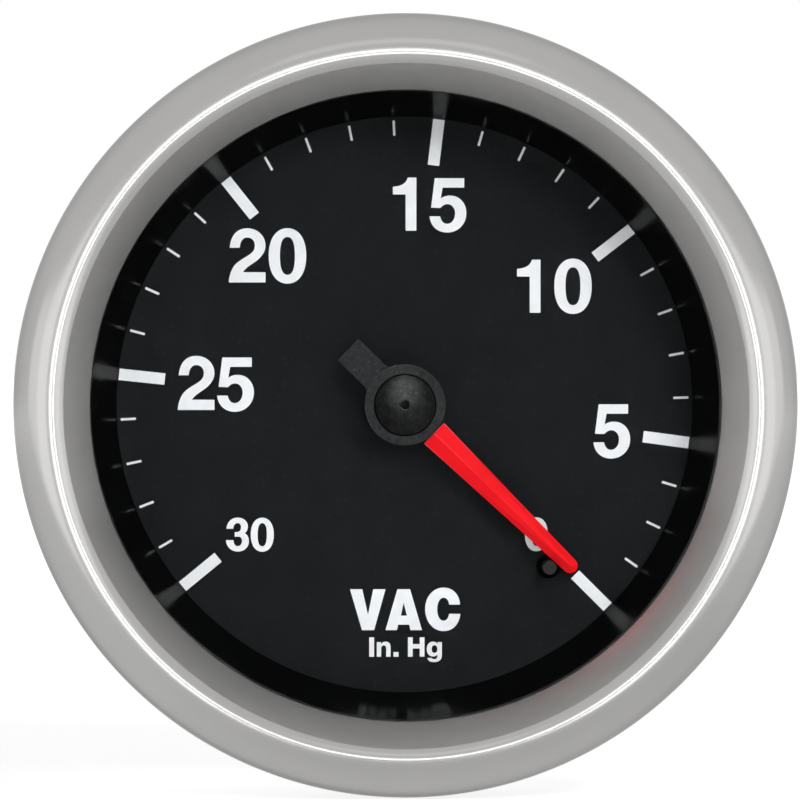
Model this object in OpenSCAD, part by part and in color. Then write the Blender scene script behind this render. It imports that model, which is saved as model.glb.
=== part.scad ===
// Round vacuum gauge that is clamped in a panel hole, with its movement and its pressure tube.
// Every piece is drawn as seen from the front: x to the right, y up, and z towards the viewer from the
// panel plane. front() then stands the gauge up, so that its dial faces -Y.

/* [Bezel] */
// Outside diameter of the bezel
bezel_d = 72; // [66:0.5:80]
// Width of the bezel's face, from its side to its opening
face_w = 7.05; // [6.85:0.05:7.3]
// Distance from the bezel's side to its crest
crest_inset = 3.6; // [3.3:0.05:4]
// Radius of the rounding between the crest and the inner face
crest_round = 1.5; // [1.3:0.1:1.8]
// Height of the crest in front of the panel
bezel_h = 11.2; // [10.8:0.1:12]
// Height of the bezel's straight side
bezel_side_h = 6.4; // [5.6:0.1:7.2]
// Thickness of the bezel's metal
bezel_t = 1; // [0.8:0.05:1.1]
// Radius of the bezel's rear edge
bezel_edge_r = 0.6; // [0.3:0.1:0.8]
// Thickness of the bezel's lip in front of the lens
lip_t = 0.5; // [0.35:0.05:0.7]
// Depth of the lens below the crest
lens_depth = 3.8; // [3.5:0.05:4.1]

/* [Case] */
// Step from the bezel's side to the case, which passes through the panel
case_step = 2.85; // [2.7:0.05:3]
// Depth of the case behind the panel
case_depth = 31; // [30.5:0.25:34]
// Wall of the case
case_t = 0.8; // [0.6:0.05:0.9]
// Radius of the case's rear corner
case_corner_r = 1; // [0.85:0.05:2]
// Thickness of the flange at the case's mouth
flange_t = 0.8; // [0.6:0.05:1]
// Gap between the flange's edge and the inside of the bezel
flange_gap = 0.2; // [0.15:0.05:0.3]
// Height of the shoulder on the case that centres the bezel's rolled edge
shoulder_step = 0.5; // [0.45:0.05:0.6]

/* [Lens and dial] */
// Thickness of the lens
lens_t = 2; // [1.6:0.1:2.3]
// Thickness of the lens gasket
gasket_t = 0.8; // [0.6:0.05:1]
// Height of the inner ring from the dial to the gasket
ring_h = 4.1; // [3.9:0.1:4.4]
// Width of the inner ring's cone, seen from the front
cone_w = 2.3; // [2:0.05:2.6]
// Wall of the inner ring
ring_t = 1.2; // [0.9:0.05:1.4]
// Gap between the dial disc and the case
dial_gap = 0.25; // [0.15:0.05:0.4]
// Thickness of the dial disc
dial_t = 0.6; // [0.5:0.05:0.7]
// Diameter of the dial's centre hole
dial_hole_d = 3; // [2.6:0.1:4]
// Diameter of the dial's hole for the stop pin
stop_hole_d = 2.3; // [2:0.1:2.6]
// Depth of the moulded seat that carries the dial
seat_h = 4.9; // [3.6:0.1:6]

/* [Pointer] */
// Gap between the pointer's tip and the inner ring
tip_gap = 4.65; // [3.2:0.05:5.8]
// Width of the blade where it leaves the hub
blade_root_w = 2.62; // [2.3:0.02:2.7]
// Width of the blade at its tip
blade_tip_w = 1.4; // [1:0.05:1.5]
// Thickness of the blade at its ridge
blade_t = 0.9; // [0.6:0.05:1.1]
// Thickness of the blade at its edges
blade_edge_t = 0.45; // [0.3:0.05:0.5]
// Diameter of the hub
hub_d = 7.42; // [6.8:0.02:7.8]
// Thickness of the hub
hub_t = 1.7; // [1.5:0.05:1.9]
// Reach of the tail from the axis
tail_len = 7.3; // [6:0.1:8.5]
// Width of the tail
tail_w = 2.7; // [2.2:0.1:3.2]
// Diameter of the cap
cap_d = 5.5; // [4.6:0.1:6]
// Height of the cap
cap_h = 1.1; // [0.8:0.05:1.2]
// Gap between the dial and the hub
hub_gap = 0.9; // [0.7:0.05:1.1]
// Diameter of the zero stop pin
stop_pin_d = 1.27; // [1.1:0.01:1.34]
// Distance from the pointer's tip back to the stop pin
stop_inset = 1.92; // [1.4:0.02:2.4]

/* [Movement] */
// Size of a gear tooth: pitch diameter for each tooth
gear_module = 0.3; // [0.298:0.001:0.302]
// Thickness of the sector
sector_t = 1; // [0.8:0.05:1.1]
// Length of the pinion
pinion_len = 2.4; // [2:0.1:2.6]
// Thickness of the movement's plates
plate_t = 1; // [0.8:0.05:1.2]
// Distance between the movement's plates
plate_gap = 6.5; // [6.3:0.1:6.8]
// Diameter of the arbors' pivots
pivot_d = 1.5; // [1.3:0.05:1.6]
// Running clearance of pivots, pins and links, on the radius
run_gap = 0.05; // [0.04:0.005:0.06]
// Length of the sector's tail arm
arm_len = 4.3; // [4.1:0.05:4.5]
// Thickness of the link
link_t = 0.8; // [0.6:0.05:0.85]
// Diameter of the link's pins
pin_d = 0.9; // [0.7:0.05:1]
// Diameter of the plate pillars
pillar_d = 3.2; // [2.8:0.1:3.6]

/* [Hairspring] */
// Diameter of the hairspring's collet
collet_d = 3; // [2.8:0.1:3.2]
// Radius of the hairspring's last turn
spring_reach = 6.2; // [5.8:0.1:6.5]
// Thickness of the hairspring's strip
spring_t = 0.15; // [0.1:0.01:0.2]
// Width of the hairspring's strip
spring_w = 0.8; // [0.6:0.05:0.9]

/* [Pressure tube and socket] */
// Radius of the pressure tube's centre line
tube_r = 22; // [21.9:0.1:22.6]
// Thickness of the oval tube across its flats
tube_thick = 1.7; // [1.5:0.05:1.8]
// Width of the oval tube
tube_w = 7; // [6.6:0.1:7.2]
// Wall of the oval tube
tube_wall = 0.3; // [0.2:0.02:0.4]
// Width of the socket block
block_w = 17; // [16:0.25:18]
// Height of the socket block across the case
block_h = 24; // [23.5:0.25:24.5]
// Width of the arm and the riser that carry the tube
riser_w = 6.8; // [6:0.1:7]
// Thickness of the riser across the tube
riser_t = 7.2; // [6:0.1:7.4]
// Outside diameter of the inlet's thread
stem_d = 10.28; // [10:0.02:10.6]
// Length of the inlet's thread
stem_len = 9.5; // [8:0.25:12]
// Bore of the inlet
stem_bore_d = 3; // [2.4:0.1:3.6]
// Width across the flats of the inlet's hexagon
hex_af = 11.1; // [10.9:0.05:11.3]
// Height of the hexagon outside the case
hex_h = 3; // [2.4:0.1:3.2]

/* [Clamp] */
// Thickness of the panel between bezel and clamp
panel_t = 3; // [1:0.25:6]
// Thickness of the clamp's strip
clamp_t = 1.2; // [1:0.05:1.3]
// Width of the clamp's strip
clamp_w = 12; // [10:0.25:12.5]
// Gap between the case and the clamp's legs
leg_gap = 1.05; // [1:0.05:1.4]
// Gap between the case's back and the clamp
clamp_gap = 3.5; // [3.4:0.1:5]
// Diameter of the clamp's middle round the inlet
clamp_eye_d = 22; // [20:0.5:23]
// Diameter of the clamp's hole round the inlet
clamp_hole_d = 14; // [13.6:0.1:15]
// Distance between the two studs
stud_span = 30; // [29.5:0.25:32]
// Diameter of the studs
stud_d = 4.16; // [4:0.02:4.3]
// Length of the studs behind the case
stud_len = 21; // [20:0.25:24]
// Diameter of the thumb nuts
nut_d = 9.5; // [8.6:0.1:10.5]
// Height of the thumb nuts
nut_h = 4; // [3.4:0.1:4.8]
// Thickness of the lock washers
washer_t = 0.9; // [0.7:0.05:1.1]

/* [Lamp] */
// Height of the lamp above the axis
lamp_y = 19.4; // [19.3:0.1:20.9]
// Diameter of the lamp holder's body
lamp_body_d = 12.2; // [11.4:0.1:12.4]
// Diameter of the lamp holder's flange
lamp_flange_d = 15; // [14:0.1:15.3]
// Thickness of the lamp holder's flange
lamp_flange_t = 1.4; // [1:0.1:1.8]
// Height of the lamp holder's grip behind the flange
lamp_grip_h = 4.2; // [3:0.1:6]
// Diameter of the bulb's glass
bulb_d = 8.8; // [7.6:0.1:9]
// Length of the bulb in front of the case's back
bulb_len = 13; // [10:0.25:14]
// Length of the lamp's terminals
terminal_len = 6; // [4:0.25:8]

/* [Hidden] */
$fn = 96;

// Length by which cuts run past the solid
over = 0.5;
// Gap of a loose fit, and of pieces that are pressed or screwed into each other
loose = 0.1;
snug = 0.02;

// Directions, in degrees counter-clockwise from the right as seen from the front
rest_angle = -44.2;
mesh_angle = -47;
tube_tip_angle = -20;
tube_root_angle = 270;
spring_stud_angle = 40;

// Teeth: the wheel is the whole circle that the sector is cut from
pinion_teeth = 12;
wheel_teeth = 96;
sector_teeth = 13;
pressure_angle = 25;
sector_turn_angle = 33;
flank_steps = 5;

// Radii
bezel_r = bezel_d / 2;
opening_r = bezel_r - face_w;
crest_r = bezel_r - crest_inset;
case_r = bezel_r - case_step;
case_in_r = case_r - case_t;
flange_r = bezel_r - bezel_t - flange_gap;
shoulder_r = case_r + shoulder_step;
view_r = opening_r - cone_w;
dial_r = case_in_r - dial_gap;
pivot_r = pivot_d / 2;
bearing_r = pivot_r + run_gap;
pin_r = pin_d / 2;
stem_r = stem_d / 2;
stud_r = stud_d / 2;

// The stop pin lies beside the blade at rest
pointer_len = view_r - tip_gap;
stop_pin_reach = pointer_len - stop_inset;
stop_gap = 0.135;
stop_pin_angle = rest_angle - asin((stop_pin_d / 2 + blade_tip_w / 2 + stop_gap) / stop_pin_reach);

// Places along the axis, in front of the panel
crimp_t = 1.2;
flange_z = crimp_t + flange_t;
lip_z = bezel_h - lens_depth;
lens_z = lip_z - lens_t;
gasket_z = lens_z - gasket_t;
dial_z = gasket_z - ring_h;
dial_back_z = dial_z - dial_t;
hub_z = dial_z + hub_gap;
blade_z = hub_z + blade_edge_t;
cap_z = hub_z + hub_t;

// Places along the axis, behind the panel
movement_drop = 4.4;
plate_front_z = dial_back_z - movement_drop;
plate_back_z = plate_front_z - plate_t;
rear_plate_z = plate_back_z - plate_gap;
block_front_z = rear_plate_z - plate_t;
tube_drop = 0.25;
tube_z = plate_back_z - plate_gap / 2 - tube_drop;
case_in_z = case_t - case_depth;
case_back_z = -case_depth;
sector_drop = 3.1;
sector_z = plate_back_z - sector_drop - sector_t;
link_gap = 0.2;
link_z = sector_z + sector_t + link_gap;
pinion_margin = (pinion_len - sector_t) / 2;
pinion_z = sector_z - pinion_margin;
spring_drop = 0.65;
spring_z = plate_back_z - spring_drop - spring_w;

// Pitch circles and centres of the two gears
pinion_pitch_r = gear_module * pinion_teeth / 2;
wheel_pitch_r = gear_module * wheel_teeth / 2;
gear_backlash = 0.06;
tooth_top_share = 0.95;
tooth_root_share = 1.25;
sector_centre = (pinion_pitch_r + wheel_pitch_r) * dir(mesh_angle);
sector_rest_angle = mesh_angle + 180 + sector_turn_angle / 2;
pinion_phase = mesh_angle - wheel_teeth / pinion_teeth * (sector_turn_angle / 2) + 180 / pinion_teeth;

// The linkage: the tube's tip carries one pin of the link, the sector's tail the other
tail_angle = -9.5;
tip_pin_inset = 2.6;
tip_pin_angle = -18.86;
tail_pin_at = sector_centre + arm_len * dir(tail_angle);
tip_pin_at = (tube_r - tip_pin_inset) * dir(tip_pin_angle);
open_pivot_gap = 0.2;
eye_wall = 0.65;

// Pillars, plates and their screws, placed round the two arbors
left_pillar_reach = 9.6;
left_pillar_angle = 141;
right_pillar_reach = 15.6;
right_pillar_angle = 7.4;
low_pillar_reach = 17.7;
low_pillar_angle = -68.5;
pillar_places = [
    left_pillar_reach * dir(left_pillar_angle), right_pillar_reach * dir(right_pillar_angle),
    low_pillar_reach * dir(low_pillar_angle)
];
left_screw_reach = 4.5;
left_screw_angle = 153;
right_screw_reach = 6.3;
right_screw_angle = -51;
plate_screw_places = [left_screw_reach * dir(left_screw_angle), right_screw_reach * dir(right_screw_angle)];
plate_margin = 0.6;

function dir(a) = [cos(a), sin(a)];
function polar(r, a) = r * dir(a);
function oval(c, rx, ry, a0, a1, n) = [
    for (i = [0:n]) let (a = a0 + (a1 - a0) * i / n) c + [rx * cos(a), ry * sin(a)]
];

// Involute teeth. A flank's angle from the tooth's centre line falls as its radius grows.
function involute(a) = tan(a) * 180 / PI - a;
function flank_angle(r, pitch_r, teeth) =
    90 / teeth - gear_backlash / 4 / pitch_r * 180 / PI
    + involute(pressure_angle) - involute(acos(min(1, pitch_r * cos(pressure_angle) / r)));
function tooth(pitch_r, teeth, centre) =
    let (
        base_r = pitch_r * cos(pressure_angle),
        root_r = pitch_r - tooth_root_share * gear_module,
        tip_r = pitch_r + tooth_top_share * gear_module,
        start_r = max(base_r, root_r),
        radii = [for (i = [0:flank_steps]) start_r + (tip_r - start_r) * i / flank_steps],
        foot = flank_angle(start_r, pitch_r, teeth)
    )
    concat(
        [polar(root_r, centre - foot)],
        [for (r = radii) polar(r, centre - flank_angle(r, pitch_r, teeth))],
        [for (i = [flank_steps:-1:0]) polar(radii[i], centre + flank_angle(radii[i], pitch_r, teeth))],
        [polar(root_r, centre + foot)]
    );

module front() {
    rotate([90, 0, 0]) children();
}

module at(p, z) {
    translate([p[0], p[1], z]) children();
}

// A disc or a ring with its rear face at z
module disc(r, z, t) {
    translate([0, 0, z]) cylinder(r = r, h = t);
}

module ring(r, hole_r, z, t) {
    translate([0, 0, z]) difference() {
        cylinder(r = r, h = t);
        translate([0, 0, -over]) cylinder(r = hole_r, h = t + 2 * over);
    }
}

// A flat bar of width w from one point to another
module bar(a, b, w, z, t) {
    d = b - a;
    translate([a[0], a[1], z]) rotate([0, 0, atan2(d[1], d[0])])
        translate([0, -w / 2, 0]) cube([norm(d), w, t]);
}

// A slotted screw whose head's rear face lies at z, with its shank behind it
module screw(head_r, head_h, shank_r, shank_len, z) {
    slot_w = head_r / 4;
    difference() {
        union() {
            disc(head_r, z, head_h);
            disc(shank_r, z - shank_len, shank_len);
        }
        translate([-head_r - over, -slot_w / 2, z + head_h / 2]) cube([2 * (head_r + over), slot_w, head_h]);
    }
}

// Bezel: a shell that domes up to the crest, falls steeply to the lip and is rolled over the flange at
// the rear. Its inner face is the line from the lip that touches the rounding at the crest.
arc_steps = 14;
module bezel() {
    lip_front_z = lip_z + lip_t;
    round_at = [crest_r, bezel_h - crest_round];
    fall = round_at - [opening_r, lip_front_z];
    slope = atan2(fall[1], fall[0]) + asin(crest_round / norm(fall));
    under_r = crest_round - bezel_t;
    under_at = round_at + under_r * dir(90 + slope);
    rim_r = bezel_r - bezel_t;
    color("silver") front() rotate_extrude() polygon(concat(
        [[shoulder_r + loose, 0]],
        oval([bezel_r - bezel_edge_r, bezel_edge_r], bezel_edge_r, bezel_edge_r, -90, 0, 4),
        oval([crest_r, bezel_side_h], bezel_r - crest_r, bezel_h - bezel_side_h, 0, 90, arc_steps),
        oval(round_at, crest_round, crest_round, 90 + slope / arc_steps, 90 + slope, arc_steps),
        [[opening_r, lip_front_z], [opening_r, lip_z], [under_at[0] - (under_at[1] - lip_z) / tan(slope), lip_z]],
        oval(round_at, under_r, under_r, 90 + slope, 90 + slope / arc_steps, arc_steps / 2),
        oval([crest_r, bezel_side_h], rim_r - crest_r, bezel_h - bezel_t - bezel_side_h, 90, 0, arc_steps),
        [[rim_r, crimp_t], [shoulder_r + loose, crimp_t]]
    ));
}

// Lens and its gasket, between the bezel's lip and the inner ring
lens_edge_gap = 1.5;
lens_r = bezel_r - bezel_t - lens_edge_gap;
gasket_inset = 0.45;
module lens() {
    color([0.9, 0.95, 0.95, 0.3]) front() disc(lens_r, lens_z, lens_t);
}

module lens_gasket() {
    color([0.08, 0.08, 0.08]) front() ring(lens_r, opening_r + gasket_inset, gasket_z, gasket_t);
}

// Inner ring: a cone from the dial up to the opening, with a skirt that stands on the case's flange
skirt_t = 1.4;
ring_flange_t = 1;
module inner_ring() {
    skirt_r = flange_r - loose;
    color([0.03, 0.03, 0.035]) front() rotate_extrude() polygon([
        [view_r, dial_z], [view_r + ring_t, dial_z],
        [opening_r + ring_t, gasket_z - ring_flange_t],
        [skirt_r - skirt_t, gasket_z - ring_flange_t],
        [skirt_r - skirt_t, flange_z], [skirt_r, flange_z],
        [skirt_r, gasket_z], [opening_r, gasket_z]
    ]);
}

module dial() {
    color([0.13, 0.14, 0.15]) front() difference() {
        disc(dial_r, dial_back_z, dial_t);
        disc(dial_hole_d / 2, dial_back_z - over, dial_t + 2 * over);
        at(stop_pin_reach * dir(stop_pin_angle), 0)
            disc(stop_hole_d / 2, dial_back_z - over, dial_t + 2 * over);
    }
}

// Seat of the dial: a thin collar in the case's mouth with a ledge under the dial's rim
seat_wall = 1.4;
seat_ledge = 3.4;
module dial_seat() {
    collar_r = case_in_r - loose;
    color([0.92, 0.92, 0.9]) front() rotate_extrude() polygon([
        [collar_r - seat_ledge, dial_back_z], [collar_r, dial_back_z],
        [collar_r, dial_back_z - seat_h], [collar_r - seat_wall, dial_back_z - seat_h],
        [collar_r - seat_wall, dial_back_z - seat_wall], [collar_r - seat_ledge, dial_back_z - seat_wall]
    ]);
}

// Case: a drawn cup with a shoulder and a flange at its mouth and the holes of its back
hole_gap = 0.3;
case_screw_reach = 9.5;
case_screw_r = 1.45;
module case() {
    inner_corner_r = case_corner_r - case_t;
    back_hole_r = hex_af / sqrt(3) + hole_gap;
    color([0.45, 0.46, 0.47]) front() difference() {
        rotate_extrude() polygon(concat(
            [[0, case_back_z]],
            oval([case_r - case_corner_r, case_back_z + case_corner_r], case_corner_r, case_corner_r, -90, 0, 6),
            [
                [case_r, 0], [shoulder_r, 0], [shoulder_r, crimp_t],
                [flange_r, crimp_t], [flange_r, flange_z], [case_in_r, flange_z]
            ],
            oval([case_in_r - inner_corner_r, case_in_z + inner_corner_r], inner_corner_r, inner_corner_r, 0, -90, 4),
            [[0, case_in_z]]
        ));
        disc(back_hole_r, case_back_z - over, case_t + 2 * over);
        for (s = [-1, 1]) {
            at([s * stud_span / 2, 0], 0) disc(stud_r + loose, case_back_z - over, case_t + 2 * over);
            at([0, s * case_screw_reach], 0)
                disc(case_screw_r + loose, case_back_z - over, case_t + 2 * over);
        }
        at([0, lamp_y], 0) disc(lamp_body_d / 2 + loose, case_back_z - over, case_t + 2 * over);
    }
}

// Zero stop: a pin that is riveted in the front plate and stands out through the dial
stop_pin_h = 2.8;
module zero_stop_pin() {
    tip_r = stop_pin_d / 6;
    body_len = dial_z + stop_pin_h - tip_r - plate_back_z;
    color([0.12, 0.12, 0.13]) front() at(stop_pin_reach * dir(stop_pin_angle), plate_back_z) {
        cylinder(r = stop_pin_d / 2, h = body_len);
        translate([0, 0, body_len]) cylinder(r1 = stop_pin_d / 2, r2 = stop_pin_d / 2 - tip_r, h = tip_r);
    }
}

// Pointer blade: two facets that meet in a ridge, with a round tip, from the hub's edge outwards
blade_gap = 0.05;
module roof(w, t) {
    polygon([[-w / 2, 0], [w / 2, 0], [w / 2, blade_edge_t], [0, t], [-w / 2, blade_edge_t]]);
}

module pointer_blade() {
    tip_r = blade_tip_w / 2;
    slice = blade_edge_t / 10;
    start = hub_d / 2 + blade_gap;
    color([0.95, 0.1, 0.12]) front() rotate([0, 0, rest_angle]) translate([0, 0, blade_z]) hull() {
        translate([start, 0, 0]) rotate([90, 0, 90]) linear_extrude(slice) roof(blade_root_w, blade_t);
        translate([pointer_len - tip_r, 0, 0]) {
            rotate([90, 0, 90]) linear_extrude(slice) roof(blade_tip_w, blade_t);
            cylinder(r = tip_r, h = blade_edge_t, $fn = 32);
            cylinder(r = slice, h = blade_t, $fn = 8);
        }
    }
}

// Pointer hub: disc and tail in one moulding, with a thin tongue that carries the blade
tongue_len = 5.5;
tongue_w = 1.6;
tail_fillet_r = 0.7;
module pointer_hub() {
    hub_r = hub_d / 2;
    fillet_y = tail_w / 2 + tail_fillet_r;
    fillet_x = sqrt(pow(hub_r + tail_fillet_r, 2) - pow(fillet_y, 2));
    color([0.06, 0.06, 0.065]) front() rotate([0, 0, rest_angle]) difference() {
        union() {
            disc(hub_r, hub_z, hub_t);
            translate([-tail_len, -tail_w / 2, hub_z]) cube([tail_len, tail_w, hub_t - blade_edge_t]);
            translate([0, -tongue_w / 2, hub_z]) cube([hub_r + tongue_len, tongue_w, blade_edge_t]);
            difference() {
                translate([-fillet_x, -fillet_y, hub_z])
                    cube([fillet_x, 2 * fillet_y, hub_t - blade_edge_t]);
                for (s = [-1, 1]) translate([-fillet_x, s * fillet_y, hub_z - over])
                    cylinder(r = tail_fillet_r, h = hub_t + 2 * over);
            }
        }
        disc(pivot_r, hub_z - over, hub_t + 2 * over);
    }
}

// Pointer cap: a low cone with a round rim and a small hole at its centre
cap_rim_h = 0.25;
cap_top_d = 1.9;
cap_hole_d = 0.84;
module pointer_cap() {
    color([0.05, 0.05, 0.055]) front() rotate_extrude() polygon([
        [cap_hole_d / 2, cap_z], [cap_d / 2, cap_z], [cap_d / 2, cap_z + cap_rim_h],
        [cap_top_d / 2, cap_z + cap_h], [cap_hole_d / 2, cap_z + cap_h - cap_rim_h]
    ]);
}

// Arbors turn in the plates on thin pivots, and their thicker middles keep them in place
arbor_r = 0.95;
end_play = 0.1;
pivot_inset = 0.1;
module arbor(front_z) {
    middle_z = rear_plate_z + end_play;
    middle_len = plate_gap - 2 * end_play;
    disc(pivot_r, block_front_z + pivot_inset, front_z - block_front_z - pivot_inset);
    disc(arbor_r, middle_z, middle_len);
}

module pointer_arbor() {
    color([0.75, 0.76, 0.78]) front() arbor(cap_z);
}

module pinion() {
    points = [
        for (k = [0:pinion_teeth - 1])
            each tooth(pinion_pitch_r, pinion_teeth, pinion_phase + k * 360 / pinion_teeth)
    ];
    color([0.8, 0.65, 0.3]) front() difference() {
        translate([0, 0, pinion_z]) linear_extrude(pinion_len) polygon(points);
        disc(arbor_r, pinion_z - over, pinion_len + 2 * over);
    }
}

// Hairspring: a flat strip in an even spiral from the collet to the stud on the front plate
spring_turns = 5;
spring_steps = 24;
function spring_point(i, side) =
    let (
        n = spring_turns * spring_steps,
        r0 = collet_d / 2 + spring_t / 2,
        r = r0 + (spring_reach - r0) * i / n
    )
    polar(r + side * spring_t / 2, spring_stud_angle - 360 * (n - i) / spring_steps);
module hairspring() {
    n = spring_turns * spring_steps;
    color([0.7, 0.72, 0.75]) front() translate([0, 0, spring_z]) linear_extrude(spring_w) polygon(concat(
        [for (i = [0:n]) spring_point(i, 1)],
        [for (i = [n:-1:0]) spring_point(i, -1)]
    ));
}

collet_margin = 0.2;
module hairspring_collet() {
    color([0.8, 0.65, 0.3]) front()
        ring(collet_d / 2, arbor_r, spring_z - collet_margin, spring_w + 2 * collet_margin);
}

stud_post_r = 0.75;
module hairspring_stud() {
    post_at = polar(spring_reach, spring_stud_angle);
    post_z = spring_z - collet_margin;
    slot_w = 4 * spring_t;
    color([0.8, 0.65, 0.3]) front() difference() {
        at(post_at, 0) disc(stud_post_r, post_z, plate_back_z - post_z);
        rotate([0, 0, spring_stud_angle])
            translate([spring_reach - slot_w / 2, -stud_post_r - over, post_z - over])
            cube([slot_w, 2 * (stud_post_r + over), spring_w + collet_margin + over + snug]);
    }
}

// Plates of the movement: outlines drawn tight round what each of them carries
plate_screw_r = 0.8;
movement_screw_r = 0.9;
module plate_outline(extra) {
    hull() {
        for (p = pillar_places) translate(p) circle(r = pillar_d / 2 + plate_margin);
        translate(sector_centre) circle(r = pillar_d / 2 + plate_margin);
        for (p = extra) translate(p) circle(r = stop_pin_d + plate_margin);
    }
}

module plate(z, extra, hole_r) {
    difference() {
        translate([0, 0, z]) linear_extrude(plate_t) plate_outline(extra);
        for (p = [[0, 0], sector_centre]) at(p, 0) disc(bearing_r, z - over, plate_t + 2 * over);
        for (p = pillar_places) at(p, 0) disc(hole_r, z - over, plate_t + 2 * over);
    }
}

module front_plate() {
    pin_at = stop_pin_reach * dir(stop_pin_angle);
    color([0.82, 0.68, 0.35]) front() difference() {
        plate(plate_back_z, [pin_at], plate_screw_r + loose);
        at(pin_at, 0) disc(stop_pin_d / 2, plate_back_z - over, plate_t + 2 * over);
    }
}

pillar_rivet_r = 0.9;
module rear_plate() {
    color([0.82, 0.68, 0.35]) front() difference() {
        plate(block_front_z, [], pillar_rivet_r);
        for (p = plate_screw_places) at(p, 0)
            disc(movement_screw_r + loose, block_front_z - over, plate_t + 2 * over);
    }
}

// Pillars: turned, with a waist, riveted in the rear plate and tapped for the front plate's screws
pillar_waist = 0.4;
plate_screw_len = 3.6;
module plate_pillars() {
    r = pillar_d / 2;
    end_h = plate_gap / 4;
    color([0.8, 0.65, 0.3]) front() for (p = pillar_places) at(p, 0) difference() {
        rotate_extrude() polygon([
            [0, block_front_z], [pillar_rivet_r, block_front_z], [pillar_rivet_r, rear_plate_z],
            [r, rear_plate_z], [r, rear_plate_z + end_h],
            [r - pillar_waist, rear_plate_z + end_h + pillar_waist],
            [r - pillar_waist, plate_back_z - end_h - pillar_waist],
            [r, plate_back_z - end_h], [r, plate_back_z], [0, plate_back_z]
        ]);
        disc(plate_screw_r + snug, plate_front_z - plate_screw_len - loose, plate_screw_len + plate_t);
    }
}

screw_head_h = 0.8;
module plate_screws() {
    color([0.7, 0.71, 0.73]) front() for (p = pillar_places)
        at(p, 0) screw(pillar_d / 2, screw_head_h, plate_screw_r, plate_screw_len, plate_front_z);
}

movement_screw_len = 5;
module movement_screws() {
    color([0.7, 0.71, 0.73]) front() for (p = plate_screw_places)
        at(p, 0) screw(2 * movement_screw_r, screw_head_h, movement_screw_r, movement_screw_len, rear_plate_z);
}

// Sector: toothed rim, two spokes, hub and the tail arm that the link pulls
rim_w = 1.3;
spoke_w = 1.7;
module sector_gear() {
    pitch_angle = 360 / wheel_teeth;
    half_angle = sector_teeth / 2 * pitch_angle;
    rim_in_r = wheel_pitch_r - tooth_root_share * gear_module - rim_w;
    rim_mid_r = rim_in_r + rim_w / 2;
    teeth = [
        for (k = [0:sector_teeth - 1]) each tooth(
            wheel_pitch_r, wheel_teeth, sector_rest_angle - half_angle + (k + 1 / 2) * pitch_angle)
    ];
    rim_in = oval([0, 0], rim_in_r, rim_in_r, sector_rest_angle + half_angle, sector_rest_angle - half_angle, 12);
    spoke_angle = half_angle - asin(spoke_w / 2 / rim_in_r);
    color([0.82, 0.68, 0.35]) front() at(sector_centre, 0) difference() {
        union() {
            translate([0, 0, sector_z]) linear_extrude(sector_t) polygon(concat(teeth, rim_in));
            for (s = [-1, 1])
                bar([0, 0], polar(rim_mid_r, sector_rest_angle + s * spoke_angle), spoke_w, sector_z, sector_t);
            bar([0, 0], arm_len * dir(tail_angle), 2 * pin_r + eye_wall, sector_z, sector_t);
            at(arm_len * dir(tail_angle), 0) disc(pin_r + eye_wall, sector_z, sector_t);
            disc(2 * arbor_r, sector_z - pinion_margin, sector_t + pinion_margin + link_gap);
        }
        disc(arbor_r, sector_z - pinion_len, 2 * pinion_len);
        at(arm_len * dir(tail_angle), 0) disc(pin_r, sector_z - over, sector_t + 2 * over);
    }
}

module sector_arbor() {
    color([0.75, 0.76, 0.78]) front() at(sector_centre, 0) arbor(plate_front_z - pivot_inset);
}

// Link: a waisted bar with an eye at each end, and the two headed pins that it turns on
module link() {
    eye_r = pin_r + open_pivot_gap + eye_wall;
    d = tail_pin_at - tip_pin_at;
    color([0.7, 0.71, 0.73]) front() difference() {
        union() {
            at(tip_pin_at, 0) disc(pin_r + eye_wall, link_z, link_t);
            at(tail_pin_at, 0) disc(eye_r, link_z, link_t);
            bar(tip_pin_at, tail_pin_at, 2 * pin_r + eye_wall / 2, link_z, link_t);
        }
        at(tip_pin_at, 0) disc(pin_r + run_gap, link_z - over, link_t + 2 * over);
        at(tail_pin_at, 0) disc(pin_r + open_pivot_gap, link_z - over, link_t + 2 * over);
    }
}

pin_head_t = 0.3;
module link_pin(p, root_z) {
    head_z = link_z + link_t + loose;
    color([0.75, 0.76, 0.78]) front() at(p, 0) {
        disc(pin_r, root_z, head_z - root_z);
        disc(pin_r + open_pivot_gap + eye_wall / 3, head_z, pin_head_t);
    }
}

module link_pin_tip() {
    link_pin(tip_pin_at, link_z - link_gap - sector_t);
}

module link_pin_tail() {
    link_pin(tail_pin_at, sector_z);
}

// Pressure tube: an oval section turned round the axis from the riser to the tip
module tube_section(grow) {
    r = tube_thick / 2 + grow;
    flat = tube_w - tube_thick;
    translate([tube_r, tube_z]) {
        square([2 * r, flat], center = true);
        for (s = [-1, 1]) translate([0, s * flat / 2]) circle(r = r);
    }
}

module bourdon_tube() {
    color([0.72, 0.5, 0.3]) front() rotate([0, 0, tube_tip_angle])
        rotate_extrude(angle = tube_root_angle - tube_tip_angle) difference() {
            tube_section(0);
            tube_section(-tube_wall);
        }
}

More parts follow.
